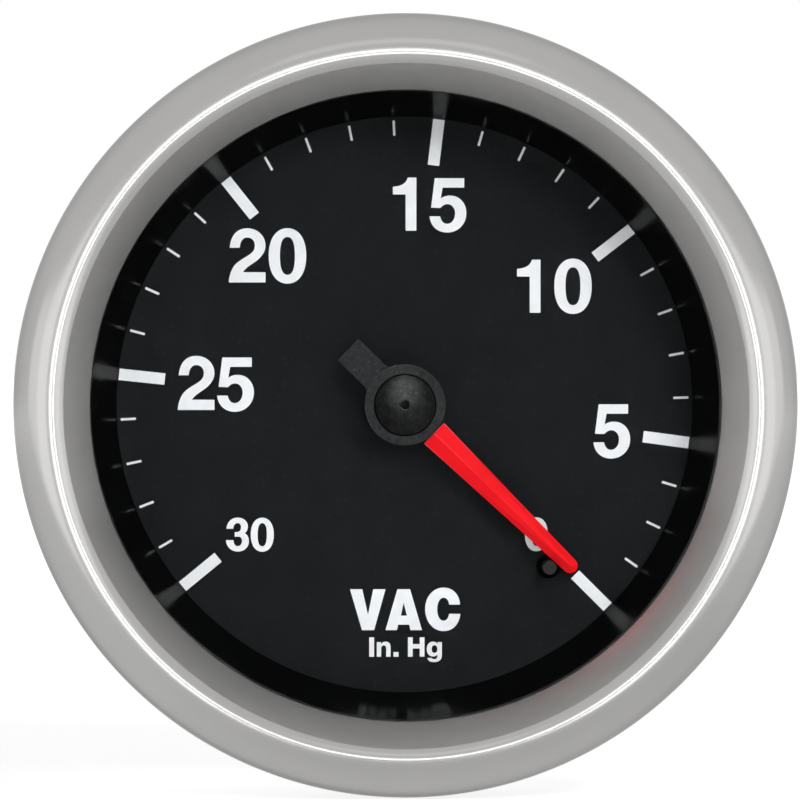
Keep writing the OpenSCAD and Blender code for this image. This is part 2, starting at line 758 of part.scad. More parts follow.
// Tip of the tube: a brass cap over the tube's end with a lug for the link's pin
tip_wall = 0.5;
tip_len = 3;
tip_pocket_angle = 2.2;
module tube_tip() {
    cap_r = tube_thick / 2 + tip_wall;
    cap_w = tube_w + 2 * tip_wall;
    lug_z = link_z - link_gap - sector_t;
    pocket_len = tube_r * tip_pocket_angle * PI / 180;
    lug_root = polar(tube_r - cap_r + tip_wall / 2, tube_tip_angle - asin(pin_d / tube_r));
    color([0.8, 0.65, 0.3]) front() difference() {
        union() {
            rotate([0, 0, tube_tip_angle])
                translate([tube_r - cap_r, pocket_len - tip_len, tube_z - cap_w / 2])
                cube([2 * cap_r, tip_len, cap_w]);
            at(tip_pin_at, 0) disc(pin_r + eye_wall, lug_z, sector_t);
            bar(tip_pin_at, lug_root, 2 * pin_r + eye_wall, lug_z, sector_t);
        }
        rotate([0, 0, tube_tip_angle]) rotate_extrude(angle = 4 * tip_pocket_angle) tube_section(snug);
        at(tip_pin_at, 0) disc(pin_r, lug_z - over, sector_t + 2 * over);
    }
}

// Socket: a brass block on the case's back, with the inlet behind it and the riser of the tube
gasket_thick = 0.4;
passage_r = 1;
riser_bore_r = 0.8;
arm_t = 5;
riser_margin = 0.6;
plug_len = 1.6;
arbor_relief_r = 1.6;
module socket_block() {
    block_back_z = case_in_z + gasket_thick;
    arm_front_z = block_front_z - plate_t;
    riser_y = -tube_r - riser_t / 2;
    riser_front_z = tube_z + tube_w / 2 + riser_margin;
    passage_z = arm_front_z - arm_t / 2;
    stem_end_z = case_back_z - hex_h - stem_len;
    stem_chamfer = stem_r / 8;
    root_angle = asin(riser_w / tube_r);
    color([0.8, 0.65, 0.32]) front() difference() {
        union() {
            translate([-block_w / 2, -block_h / 2, block_back_z])
                cube([block_w, block_h, block_front_z - block_back_z]);
            translate([-riser_w / 2, riser_y, arm_front_z - arm_t]) cube([riser_w, -riser_y, arm_t]);
            translate([-riser_w / 2, riser_y, arm_front_z - arm_t])
                cube([riser_w, riser_t, riser_front_z - arm_front_z + arm_t]);
            translate([0, 0, case_back_z - hex_h])
                cylinder(r = hex_af / sqrt(3), h = block_back_z - case_back_z + hex_h, $fn = 6);
            disc(stem_r, stem_end_z + stem_chamfer, stem_len);
            translate([0, 0, stem_end_z]) cylinder(r1 = stem_r - stem_chamfer, r2 = stem_r, h = stem_chamfer);
        }
        disc(stem_bore_d / 2, stem_end_z - over, passage_z - stem_end_z + over);
        translate([0, 0, passage_z]) rotate([90, 0, 0]) cylinder(r = passage_r, h = -riser_y + over);
        at([riser_bore_r - loose, -tube_r], 0) disc(riser_bore_r, passage_z, tube_z - passage_z);
        rotate([0, 0, tube_root_angle - root_angle]) rotate_extrude(angle = root_angle) tube_section(snug);
        disc(arbor_relief_r, block_front_z - arbor_relief_r, arbor_relief_r + over);
        for (p = plate_screw_places) at(p, 0)
            disc(movement_screw_r + snug, block_front_z - movement_screw_len, movement_screw_len + over);
        for (s = [-1, 1]) at([0, s * case_screw_reach], 0)
            disc(case_screw_r + snug, block_back_z - over, case_screw_len);
    }
}

module passage_plug() {
    riser_y = -tube_r - riser_t / 2;
    passage_z = block_front_z - plate_t - arm_t / 2;
    color([0.8, 0.65, 0.32]) front() translate([0, riser_y, passage_z]) rotate([-90, 0, 0])
        cylinder(r = passage_r, h = plug_len);
}

module stem_gasket() {
    color([0.1, 0.1, 0.1]) front() ring(
        case_screw_reach - case_screw_r - loose, hex_af / sqrt(3) + hole_gap, case_in_z, gasket_thick);
}

case_screw_len = 6;
case_screw_head_r = 2.2;
case_screw_head_h = 1.6;
module case_screws() {
    color([0.7, 0.71, 0.73]) front() for (s = [-1, 1])
        translate([0, s * case_screw_reach, case_back_z]) rotate([180, 0, 0])
        screw(case_screw_head_r, case_screw_head_h, case_screw_r, case_screw_len, 0);
}

// Studs: headed inside the case, chamfered at the end, for the clamp's nuts
stud_head_r = 3.4;
stud_head_t = 1.2;
module mounting_studs() {
    chamfer = stud_r / 5;
    end_z = case_back_z - stud_len;
    color([0.72, 0.73, 0.75]) front() for (s = [-1, 1]) at([s * stud_span / 2, 0], 0) {
        disc(stud_head_r, case_in_z, stud_head_t);
        disc(stud_r, end_z + chamfer, case_in_z - end_z - chamfer);
        translate([0, 0, end_z]) cylinder(r1 = stud_r - chamfer, r2 = stud_r, h = chamfer);
    }
}

// Clamp: a bent strip whose legs press on the panel, with a round eye in the middle for the inlet
clamp_bend_r = 1;
clamp_base_z = case_back_z - clamp_gap;
clamp_back_z = clamp_base_z - clamp_t;
module clamp_strip() {
    half = case_r + leg_gap + clamp_t;
    bend = clamp_bend_r + clamp_t;
    corner_x = half - bend;
    corner_z = clamp_back_z + bend;
    translate([-corner_x, clamp_back_z]) square([2 * corner_x, clamp_t]);
    for (s = [-1, 1]) {
        translate([s * (half - clamp_t / 2) - clamp_t / 2, corner_z])
            square([clamp_t, -panel_t - corner_z]);
        intersection() {
            translate([s * corner_x, corner_z]) difference() {
                circle(r = bend);
                circle(r = clamp_bend_r);
            }
            translate([s * (corner_x + bend / 2) - bend / 2, clamp_back_z]) square([bend, bend]);
        }
    }
}

module clamp_bracket() {
    color([0.68, 0.69, 0.7]) front() difference() {
        union() {
            translate([0, clamp_w / 2, 0]) rotate([90, 0, 0]) linear_extrude(clamp_w) clamp_strip();
            disc(clamp_eye_d / 2, clamp_back_z, clamp_t);
        }
        disc(clamp_hole_d / 2, clamp_back_z - over, clamp_t + 2 * over);
        for (s = [-1, 1]) at([s * stud_span / 2, 0], 0)
            disc(stud_r + hole_gap, clamp_back_z - over, clamp_t + 2 * over);
    }
}

// Split lock washers under the nuts
washer_gap = 0.6;
washer_z = clamp_back_z - washer_t;
module lock_washers() {
    washer_r = 2 * stud_r;
    color([0.6, 0.61, 0.63]) front() for (s = [-1, 1]) at([s * stud_span / 2, 0], 0) difference() {
        ring(washer_r, stud_r + hole_gap, washer_z, washer_t);
        translate([0, -washer_gap / 2, washer_z - over]) cube([washer_r + over, washer_gap, washer_t + 2 * over]);
    }
}

// Thumb nuts: a knurled head behind a plain collar
knurl_count = 36;
knurl_depth = 0.3;
collar_share = 0.25;
module thumb_nut(x) {
    r = nut_d / 2;
    collar_h = collar_share * nut_h;
    head_h = nut_h - collar_h;
    knurl = [
        for (k = [0:2 * knurl_count - 1])
            polar(r - (k % 2) * knurl_depth, k * 180 / knurl_count)
    ];
    color([0.75, 0.76, 0.77]) front() translate([x, 0, washer_z - nut_h]) difference() {
        union() {
            linear_extrude(head_h) polygon(knurl);
            translate([0, 0, head_h]) cylinder(r = r - 3 * knurl_depth, h = collar_h);
        }
        translate([0, 0, -over]) cylinder(r = stud_r + loose, h = nut_h + 2 * over);
    }
}

module clamp_nut_left() {
    thumb_nut(-stud_span / 2);
}

module clamp_nut_right() {
    thumb_nut(stud_span / 2);
}

// Lamp holder: a moulded plug with a flange, a grip, two locking lugs and a socket for the bulb
lamp_wall = 1;
lamp_neck = 3.2;
lug_w = 2.4;
module lamp_holder() {
    body_r = lamp_body_d / 2;
    grip_r = lamp_flange_d / 2 - 2 * lamp_wall;
    grip_z = case_back_z - lamp_flange_t - lamp_grip_h;
    color([0.1, 0.1, 0.11]) front() at([0, lamp_y], 0) difference() {
        union() {
            disc(body_r, case_back_z, lamp_neck);
            disc(lamp_flange_d / 2, case_back_z - lamp_flange_t, lamp_flange_t);
            disc(grip_r, grip_z, lamp_grip_h);
            translate([-grip_r - lamp_wall, -lug_w / 2, grip_z])
                cube([2 * (grip_r + lamp_wall), lug_w, lamp_grip_h]);
        }
        disc(bulb_d / 2 + loose, case_back_z, lamp_neck + over);
    }
}

module lamp_bulb() {
    r = bulb_d / 2;
    color([1, 0.97, 0.85, 0.6]) front() at([0, lamp_y], 0) rotate_extrude() polygon(concat(
        [[0, case_back_z], [r, case_back_z]],
        oval([0, case_back_z + bulb_len - r], r, r, 0, 90, 10)
    ));
}

// Terminals: two flat blades with a hole, standing out of the grip
terminal_w = 3;
terminal_t = 0.5;
terminal_gap = 2.6;
terminal_root = 1.5;
module lamp_terminals() {
    grip_z = case_back_z - lamp_flange_t - lamp_grip_h;
    color([0.8, 0.68, 0.4]) front() for (s = [-1, 1])
        translate([0, lamp_y + s * terminal_gap, grip_z - terminal_len]) difference() {
            translate([-terminal_w / 2, -terminal_t / 2, 0]) cube([terminal_w, terminal_t, terminal_len]);
            translate([0, terminal_t, terminal_root]) rotate([90, 0, 0])
                cylinder(r = terminal_w / 5, h = 2 * terminal_t);
        }
}

bezel();
lens();
lens_gasket();
inner_ring();
dial();
dial_seat();
case();
zero_stop_pin();
pointer_blade();
pointer_hub();
pointer_cap();
pointer_arbor();
pinion();
hairspring();
hairspring_collet();
hairspring_stud();
front_plate();
rear_plate();
plate_pillars();
plate_screws();
movement_screws();
sector_gear();
sector_arbor();
link();
link_pin_tip();
link_pin_tail();
bourdon_tube();
tube_tip();
socket_block();
passage_plug();
stem_gasket();
case_screws();
mounting_studs();
clamp_bracket();
lock_washers();
clamp_nut_left();
clamp_nut_right();
lamp_holder();
lamp_bulb();
lamp_terminals();
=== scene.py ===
# %% [markdown]
# # A panel vacuum gauge
#
# The gauge comes from its drawing as solids that are already in the right
# place: case, dial, pointer, the works behind the dial, and the clamp at the
# back. This notebook dresses them. It spins a smooth bezel, prints the dial,
# cuts the threads, gives each part its finish, and sets up a small studio.
#
# Everything is in metres. The dial faces -Y and +Z is up. Drawing sizes are in
# millimetres, seen from the front, so one helper turns them into places.

# %% Load the gauge
import math

import bmesh
import bpy
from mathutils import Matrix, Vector


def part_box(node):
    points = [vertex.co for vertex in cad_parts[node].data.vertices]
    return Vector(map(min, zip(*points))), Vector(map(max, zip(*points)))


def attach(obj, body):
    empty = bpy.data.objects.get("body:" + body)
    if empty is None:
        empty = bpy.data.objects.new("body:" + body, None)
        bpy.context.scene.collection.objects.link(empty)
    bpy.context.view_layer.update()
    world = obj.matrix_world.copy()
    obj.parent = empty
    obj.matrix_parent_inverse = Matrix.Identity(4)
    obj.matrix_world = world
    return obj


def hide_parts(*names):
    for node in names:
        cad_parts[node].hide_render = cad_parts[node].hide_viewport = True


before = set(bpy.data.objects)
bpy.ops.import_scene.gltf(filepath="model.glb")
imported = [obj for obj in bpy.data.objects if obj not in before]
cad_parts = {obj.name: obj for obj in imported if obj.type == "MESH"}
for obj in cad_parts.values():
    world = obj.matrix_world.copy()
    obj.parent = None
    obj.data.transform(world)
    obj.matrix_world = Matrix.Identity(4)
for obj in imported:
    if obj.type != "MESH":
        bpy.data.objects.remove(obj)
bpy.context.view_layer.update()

MM = 0.001


def spot(x, y, z):
    """A place given in millimetres: x right and y up as seen from the front, z towards the viewer."""
    return Vector((x, -z, y)) * MM


# %% [markdown]
# ## The camera
#
# A small round thing that looks flat and undistorted was photographed from
# far off with a long lens. We could fake that with an orthographic camera,
# but a real one keeps the slight widening towards the back. The camera stands
# a little left of the axis and a little above it, which is why the dial looks
# shifted by a hair inside the bezel.

# %% Place the camera
RIM_Z = 6.4  # where the bezel is widest
DISTANCE = 664.0
WIDTH_SEEN = 73.42  # millimetres across the picture at RIM_Z
AIM_X, AIM_Y = -0.531, 0.513
SENSOR = 36
FROM_LEFT, FROM_ABOVE = math.radians(1.08), math.radians(0.9)


def viewer_way(left, above):
    """The direction from the gauge to a viewer who stands so far, in radians, left of and above the axis."""
    return spot(-math.sin(left), math.sin(above), math.cos(left) * math.cos(above)).normalized()


back = viewer_way(FROM_LEFT, FROM_ABOVE)
camera = bpy.data.objects.new("studio_camera", bpy.data.cameras.new("studio_camera"))
camera.data.sensor_width = SENSOR
camera.data.lens = SENSOR * DISTANCE / WIDTH_SEEN
camera.data.clip_start = 0.02
camera.location = spot(AIM_X, AIM_Y, RIM_Z) + back * DISTANCE * MM
camera.rotation_euler = (-back).to_track_quat("-Z", "Y").to_euler()
bpy.context.scene.collection.objects.link(camera)
bpy.context.scene.camera = camera
bpy.context.scene.view_settings.view_transform = "Standard"
print("lens in mm:", round(camera.data.lens, 1))

# %% [markdown]
# ## The studio
#
# Metal has almost no colour of its own: it shows what stands round it. So the
# studio is a white room, in which satin aluminium shows its plain grey, plus a
# few softboxes that draw the bright lines. The world is white for anything
# that looks at it or mirrors it, and dimmer for the light that it sheds, so
# that colours come out as they are mixed. Light that has already met a matt
# surface, such as the dial behind its window, counts as shed light too.

# %% Helpers for nodes, and for sums in a node tree


def new_node(tree, kind, **settings):
    """A shader node of that kind with these settings."""
    node = tree.nodes.new("ShaderNode" + kind)
    for label, value in settings.items():
        setattr(node, label, value)
    return node


def give(tree, value, socket):
    """Sets an input to a number, or links the socket that feeds it."""
    if isinstance(value, (int, float)):
        socket.default_value = value
    else:
        tree.links.new(value, socket)


def maths(tree, operation, *values, clamp=False):
    """A Math node in that tree. Each value is a number or the socket that feeds it."""
    node = new_node(tree, "Math", operation=operation, use_clamp=clamp)
    for socket, value in zip(node.inputs, values):
        give(tree, value, socket)
    return node.outputs[0]


print("sums ready")

# %% Build the white room
WHITE = (1, 1, 1, 1)
ROOM_LIGHT = 0.1

world = bpy.data.worlds.new("white_room")
world.use_nodes = True
bpy.context.scene.world = world
tree = world.node_tree
tree.nodes.clear()
rays = new_node(tree, "LightPath").outputs
seen = maths(tree, "ADD", rays["Is Camera Ray"], rays["Is Glossy Ray"])
seen = maths(tree, "ADD", seen, rays["Is Transmission Ray"], clamp=True)
not_shed = maths(tree, "LESS_THAN", rays["Diffuse Depth"], 0.5)
room = new_node(tree, "MixShader")
tree.links.new(maths(tree, "MULTIPLY", seen, not_shed), room.inputs["Fac"])
for socket, strength in ((room.inputs[1], ROOM_LIGHT), (room.inputs[2], 1)):
    wall = new_node(tree, "Background")
    wall.inputs["Color"].default_value = WHITE
    wall.inputs["Strength"].default_value = strength
    tree.links.new(wall.outputs[0], socket)
tree.links.new(room.outputs[0], new_node(tree, "OutputWorld").inputs["Surface"])
print("room light:", ROOM_LIGHT)

# %% [markdown]
# ## Softboxes and the ring light
#
# Softboxes on both sides of the camera, and a faint one above it, put the
# second bright band on the bezel. A ring light gives the thin bright line
# along its crest. The hole in the ring matters: a flat window mirrors
# only what is straight ahead, and with a dark card in the hole it mirrors
# nothing, so the dial stays black. Ring and card stand where the window
# mirrors the camera, not round the camera itself. A soft key from the upper
# right gives the pointer its shadow, and a fill lights the back. A snoot, a
# lamp with a narrow tube in front, brings out the upper half of the cap.

# %% Hang the lamps
SUBJECT = spot(0, 0, 5)


def towards(right, up):
    """The direction from the gauge to a lamp that stands so many degrees right of and above the axis."""
    a, b = math.radians(right), math.radians(up)
    return spot(math.sin(a) * math.cos(b), math.sin(b), math.cos(a) * math.cos(b)).normalized()


def hang(name, data, place, way):
    """An object of the studio that faces back along that way."""
    thing = bpy.data.objects.new(name, data)
    thing.location = place
    thing.rotation_euler = way.to_track_quat("Z", "Y").to_euler()
    bpy.context.scene.collection.objects.link(thing)
    return thing


def softbox(name, right, up, distance, wide, high, watts):
    """A soft lamp that faces the gauge. Its distance and its sides are in metres."""
    lamp = bpy.data.lights.new(name, "AREA")
    lamp.shape = "RECTANGLE"
    lamp.size, lamp.size_y, lamp.energy = wide, high, watts
    return hang(name, lamp, SUBJECT + towards(right, up) * distance, towards(right, up))


for side in (-1, 1):
    softbox("softbox_near_" + "LR"[side > 0], side * 40, 0, 1.0, 0.66, 0.55, 0.78)
    softbox("softbox_far_" + "LR"[side > 0], side * 74, 0, 1.0, 0.54, 0.6, 0.42)
softbox("softbox_top", 0, 42, 1.0, 0.5, 0.3, 0.12)
key = softbox("key", 27, 31, 1.2, 0.34, 0.34, 5.7)
rear = softbox("rear_fill", -150, 35, 1.2, 0.8, 0.8, 4.0)
key.visible_glossy = rear.visible_glossy = False

SNOOT_AIM, SNOOT_WAY, SNOOT_DISTANCE = spot(0, 1.0, 3.7), towards(-5, 54), 0.2
narrow = bpy.data.lights.new("snoot", "SPOT")
narrow.energy = 12.5
narrow.spot_size = math.radians(1.0)
narrow.spot_blend = 0.8
narrow.shadow_soft_size = 0.0006
snoot = hang("snoot", narrow, SNOOT_AIM + SNOOT_WAY * SNOOT_DISTANCE, SNOOT_WAY)
snoot.visible_glossy = snoot.visible_transmission = False

# %% Make the ring light and the dark card
RING_INNER, RING_OUTER, CARD_RADIUS, CARD_PINHOLE = 0.058, 0.135, 0.085, 0.0005
RING_DISTANCE, CARD_DISTANCE = 0.6, 0.72
RING_BRIGHTNESS = 4.6
WINDOW_Z = 7.4
BLACK = (0.004, 0.004, 0.004, 1)
mirrored_way = viewer_way(-FROM_LEFT, -FROM_ABOVE)


def shape(name, verts, faces):
    """A mesh of that name."""
    mesh = bpy.data.meshes.new(name)
    mesh.from_pydata(verts, [], faces)
    return mesh


def band(here, there, steps):
    """Faces between two rings of corners that start at those numbers."""
    return [(here + k, here + (k + 1) % steps, there + (k + 1) % steps, there + k) for k in range(steps)]


def new_material(name, **settings):
    """A material with one Principled shader and these settings. Gives both."""
    material = bpy.data.materials.new(name)
    material.use_nodes = True
    shader = material.node_tree.nodes["Principled BSDF"]
    for label, value in settings.items():
        shader.inputs[label.replace("_", " ")].default_value = value
    return material, shader


def flat_disc(name, inner, outer, distance, brightness):
    """A disc or ring that faces the gauge and is seen only by what mirrors it."""
    steps = 48
    turns = [2 * math.pi * k / steps for k in range(steps)]
    verts = [(r * math.cos(a), r * math.sin(a), 0) for r in (inner, outer) for a in turns]
    mesh = shape(name, verts, band(0, steps, steps))
    disc = hang(name, mesh, spot(0, 0, WINDOW_Z) + mirrored_way * distance, mirrored_way)
    material, _ = new_material(name, Base_Color=BLACK, Emission_Color=WHITE, Emission_Strength=brightness)
    disc.data.materials.append(material)
    disc.visible_camera = disc.visible_shadow = disc.visible_diffuse = False


flat_disc("ring_light", RING_INNER, RING_OUTER, RING_DISTANCE, RING_BRIGHTNESS)
flat_disc("dark_card", CARD_PINHOLE, CARD_RADIUS, CARD_DISTANCE, 0)
edges = [round(math.degrees(math.atan(r / RING_DISTANCE)), 1) for r in (RING_INNER, RING_OUTER)]
print("ring from", edges[0], "to", edges[1], "degrees off the axis")

# %% [markdown]
# ## The floor
#
# The gauge stands on its rim on a pale sheet. The sheet has to look as white
# as the room behind it and still keep the shadow, so it gets a little light
# of its own for the rays that look at it or mirror it. Where the gauge's
# shadow falls, only that part is left, and it shows as a soft grey. Far from
# the gauge, where the lamps no longer reach, the sheet's own light grows.

# %% Lay the floor
FLOOR_Z = -36.05 * MM
FRONT_EDGE, FAR_EDGE = -0.085, 3  # it ends in front so that the window mirrors the dark card and not the sheet
NEAR_GLOW, FAR_GLOW, MIRRORED_GLOW = 0.72, 1.15, 0.85
GROWS_FROM, GROWS_TO = 0.15, 0.9  # how far from the gauge the glow starts and stops growing

sides = ((-FAR_EDGE, FRONT_EDGE), (FAR_EDGE, FRONT_EDGE), (FAR_EDGE, FAR_EDGE), (-FAR_EDGE, FAR_EDGE))
floor = bpy.data.objects.new("floor", shape("floor", [(x, y, 0) for x, y in sides], [(0, 1, 2, 3)]))
floor.location.z = FLOOR_Z
bpy.context.scene.collection.objects.link(floor)
sheet, shader = new_material("pale_sheet", Base_Color=(0.8, 0.8, 0.8, 1), Roughness=0.9)
shader.inputs["Specular IOR Level"].default_value = 0.1
shader.inputs["Emission Color"].default_value = WHITE
tree = sheet.node_tree
rays = new_node(tree, "LightPath").outputs
mirrored = maths(tree, "ADD", rays["Is Glossy Ray"], rays["Is Transmission Ray"])
looked_at = maths(tree, "MULTIPLY_ADD", mirrored, MIRRORED_GLOW, rays["Is Camera Ray"])
away = new_node(tree, "VectorMath", operation="LENGTH")
tree.links.new(new_node(tree, "TexCoord").outputs["Object"], away.inputs[0])
glow = new_node(tree, "MapRange")
tree.links.new(away.outputs["Value"], glow.inputs["Value"])
for label, value in (("From Min", GROWS_FROM), ("From Max", GROWS_TO), ("To Min", NEAR_GLOW), ("To Max", FAR_GLOW)):
    glow.inputs[label].default_value = value
tree.links.new(maths(tree, "MULTIPLY", looked_at, glow.outputs["Result"]), shader.inputs["Emission Strength"])
floor.data.materials.append(sheet)
print("floor at", round(FLOOR_Z / MM, 2), "mm")

# %% [markdown]
# ## Shared effects
#
# Real surfaces are never one flat value. The same few causes keep coming
# back: fine grain from blasting or moulding, lathe marks that run round the
# axis, brush marks along a strip, corners rubbed bright, and slow changes of
# tone. Each one is made once as a node group, with its sizes in millimetres,
# and is placed in each material with that part's own values.

# %% Helpers that open a node group and place a noise in it
FLOAT, COLOUR = "NodeSocketFloat", "NodeSocketColor"
PER_METRE = 1000


def effect(name, inputs, outputs):
    """A new shader node group: inputs are {name: default}, outputs are {name: socket type}."""
    tree = bpy.data.node_groups.new(name, "ShaderNodeTree")
    for label, value in inputs.items():
        kind = FLOAT if isinstance(value, (int, float)) else COLOUR
        if isinstance(value, Vector):
            kind = "NodeSocketVector"
        tree.interface.new_socket(name=label, in_out="INPUT", socket_type=kind).default_value = value
    for label, kind in outputs.items():
        tree.interface.new_socket(name=label, in_out="OUTPUT", socket_type=kind)
    return tree, tree.nodes.new("NodeGroupInput").outputs, tree.nodes.new("NodeGroupOutput").inputs


def own_place(tree):
    """The place on the piece itself, so that a pattern moves with it."""
    return new_node(tree, "TexCoord").outputs["Object"]


def noise_at(tree, place, scale, detail):
    """A noise texture. Its scale is a number or a socket."""
    node = new_node(tree, "TexNoise")
    tree.links.new(place, node.inputs["Vector"])
    give(tree, scale, node.inputs["Scale"])
    node.inputs["Detail"].default_value = detail
    return node


def value_and_height(tree, noise, given, out):
    """Hands out the noise as a height, and as a value spread between the group's Low and High."""
    spread = maths(tree, "SUBTRACT", given["High"], given["Low"])
    tree.links.new(maths(tree, "MULTIPLY_ADD", noise.outputs["Fac"], spread, given["Low"]), out["Value"])
    tree.links.new(noise.outputs["Fac"], out["Height"])


print("helpers ready")

# %% Grain: small even bumps, and a value that wanders between two limits
grain, given, out = effect("fine_grain", {"Size": 0.2, "Low": 0.3, "High": 0.4}, {"Value": FLOAT, "Height": FLOAT})
noise = noise_at(grain, own_place(grain), maths(grain, "DIVIDE", PER_METRE, given["Size"]), 3)
value_and_height(grain, noise, given, out)
print("made", grain.name)

# %% Turning: lines that run round the axis, as a lathe tool leaves them
turning, given, out = effect("lathe_turning", {"Pitch": 0.1}, {"Height": FLOAT})
parts = new_node(turning, "SeparateXYZ")
turning.links.new(own_place(turning), parts.inputs[0])
across = maths(turning, "MULTIPLY", parts.outputs["X"], PER_METRE)
upward = maths(turning, "MULTIPLY", parts.outputs["Z"], PER_METRE)
radius = maths(turning, "MULTIPLY_ADD", across, across, maths(turning, "MULTIPLY", upward, upward))
radius = maths(turning, "SQRT", radius)
AXIAL_SHARE = 0.7  # how much a step along the axis counts beside one along the radius
along = maths(turning, "MULTIPLY_ADD", parts.outputs["Y"], AXIAL_SHARE * PER_METRE, radius)
noise = new_node(turning, "TexNoise", noise_dimensions="1D")
noise.inputs["Scale"].default_value = 1
noise.inputs["Detail"].default_value = 2
turning.links.new(maths(turning, "DIVIDE", along, given["Pitch"]), noise.inputs["W"])
turning.links.new(noise.outputs["Fac"], out["Height"])
print("made", turning.name)

# %% Brushing: grain stretched in one direction
limits = {"Stretch": Vector((1, 1, 1)), "Low": 0.3, "High": 0.45}
brushing, given, out = effect("brushed_strip", limits, {"Value": FLOAT, "Height": FLOAT})
stretched = new_node(brushing, "VectorMath", operation="MULTIPLY")
brushing.links.new(own_place(brushing), stretched.inputs[0])
brushing.links.new(given["Stretch"], stretched.inputs[1])
noise = noise_at(brushing, stretched.outputs[0], PER_METRE, 2)
value_and_height(brushing, noise, given, out)
print("made", brushing.name)

# %% Rubbed edges: a mask that is 1 on sharp corners
PATCH_SCALE, LEAST_BARE = 900, 0.2
rubbing, given, out = effect("rubbed_edges", {"Width": 0.2, "Gain": 4.0}, {"Mask": FLOAT})
rounded = new_node(rubbing, "Bevel", samples=4)
rubbing.links.new(maths(rubbing, "MULTIPLY", given["Width"], MM), rounded.inputs["Radius"])
agree = new_node(rubbing, "VectorMath", operation="DOT_PRODUCT")
rubbing.links.new(rounded.outputs[0], agree.inputs[0])
rubbing.links.new(new_node(rubbing, "NewGeometry").outputs["Normal"], agree.inputs[1])
noise = noise_at(rubbing, own_place(rubbing), PATCH_SCALE, 2)
bare = maths(rubbing, "MULTIPLY", maths(rubbing, "SUBTRACT", 1, agree.outputs["Value"]), given["Gain"])
patchy = maths(rubbing, "ADD", noise.outputs["Fac"], LEAST_BARE)
rubbing.links.new(maths(rubbing, "MULTIPLY", bare, patchy, clamp=True), out["Mask"])
print("made", rubbing.name)

# %% Drift: two tones that change slowly into each other
pair = {"Size": 8.0, "First": (0.5, 0.5, 0.5, 1), "Second": (0.6, 0.6, 0.6, 1)}
drift, given, out = effect("slow_drift", pair, {"Color": COLOUR})
noise = noise_at(drift, own_place(drift), maths(drift, "DIVIDE", PER_METRE, given["Size"]), 4)
noise.inputs["Roughness"].default_value = 0.65
blend = new_node(drift, "Mix", data_type="RGBA")
steeper = maths(drift, "MULTIPLY_ADD", noise.outputs["Fac"], 2.4, -0.7, clamp=True)  # so that patches form
drift.links.new(steeper, blend.inputs["Factor"])
drift.links.new(given["First"], blend.inputs[6])
drift.links.new(given["Second"], blend.inputs[7])
drift.links.new(blend.outputs[2], out["Color"])
print("made", drift.name)

# %% Specks: sparse small dots, each of its own strength
specks, given, out = effect("fine_specks", {"Size": 0.4, "Share": 0.25}, {"Mask": FLOAT})
cells = new_node(specks, "TexVoronoi")
specks.links.new(own_place(specks), cells.inputs["Vector"])
specks.links.new(maths(specks, "DIVIDE", PER_METRE, given["Size"]), cells.inputs["Scale"])
lucky = new_node(specks, "SeparateColor")
specks.links.new(cells.outputs["Color"], lucky.inputs[0])
dot = maths(specks, "MULTIPLY_ADD", cells.outputs["Distance"], -3, 1, clamp=True)
dot = maths(specks, "MULTIPLY", dot, maths(specks, "LESS_THAN", lucky.outputs[0], given["Share"]))
specks.links.new(maths(specks, "MULTIPLY", dot, lucky.outputs[1]), out["Mask"])
print("made", specks.name)

# %% [markdown]
# ## A helper for finishes
#
# Every finish starts the same way: a material with one Principled shader.
# The helpers give it two tones that drift, lay dust or wear over them, set a
# texture for roughness and bump, and keep the finished material under the
# name that the drawing gives to it.

# %% Finish helpers
finish = {}


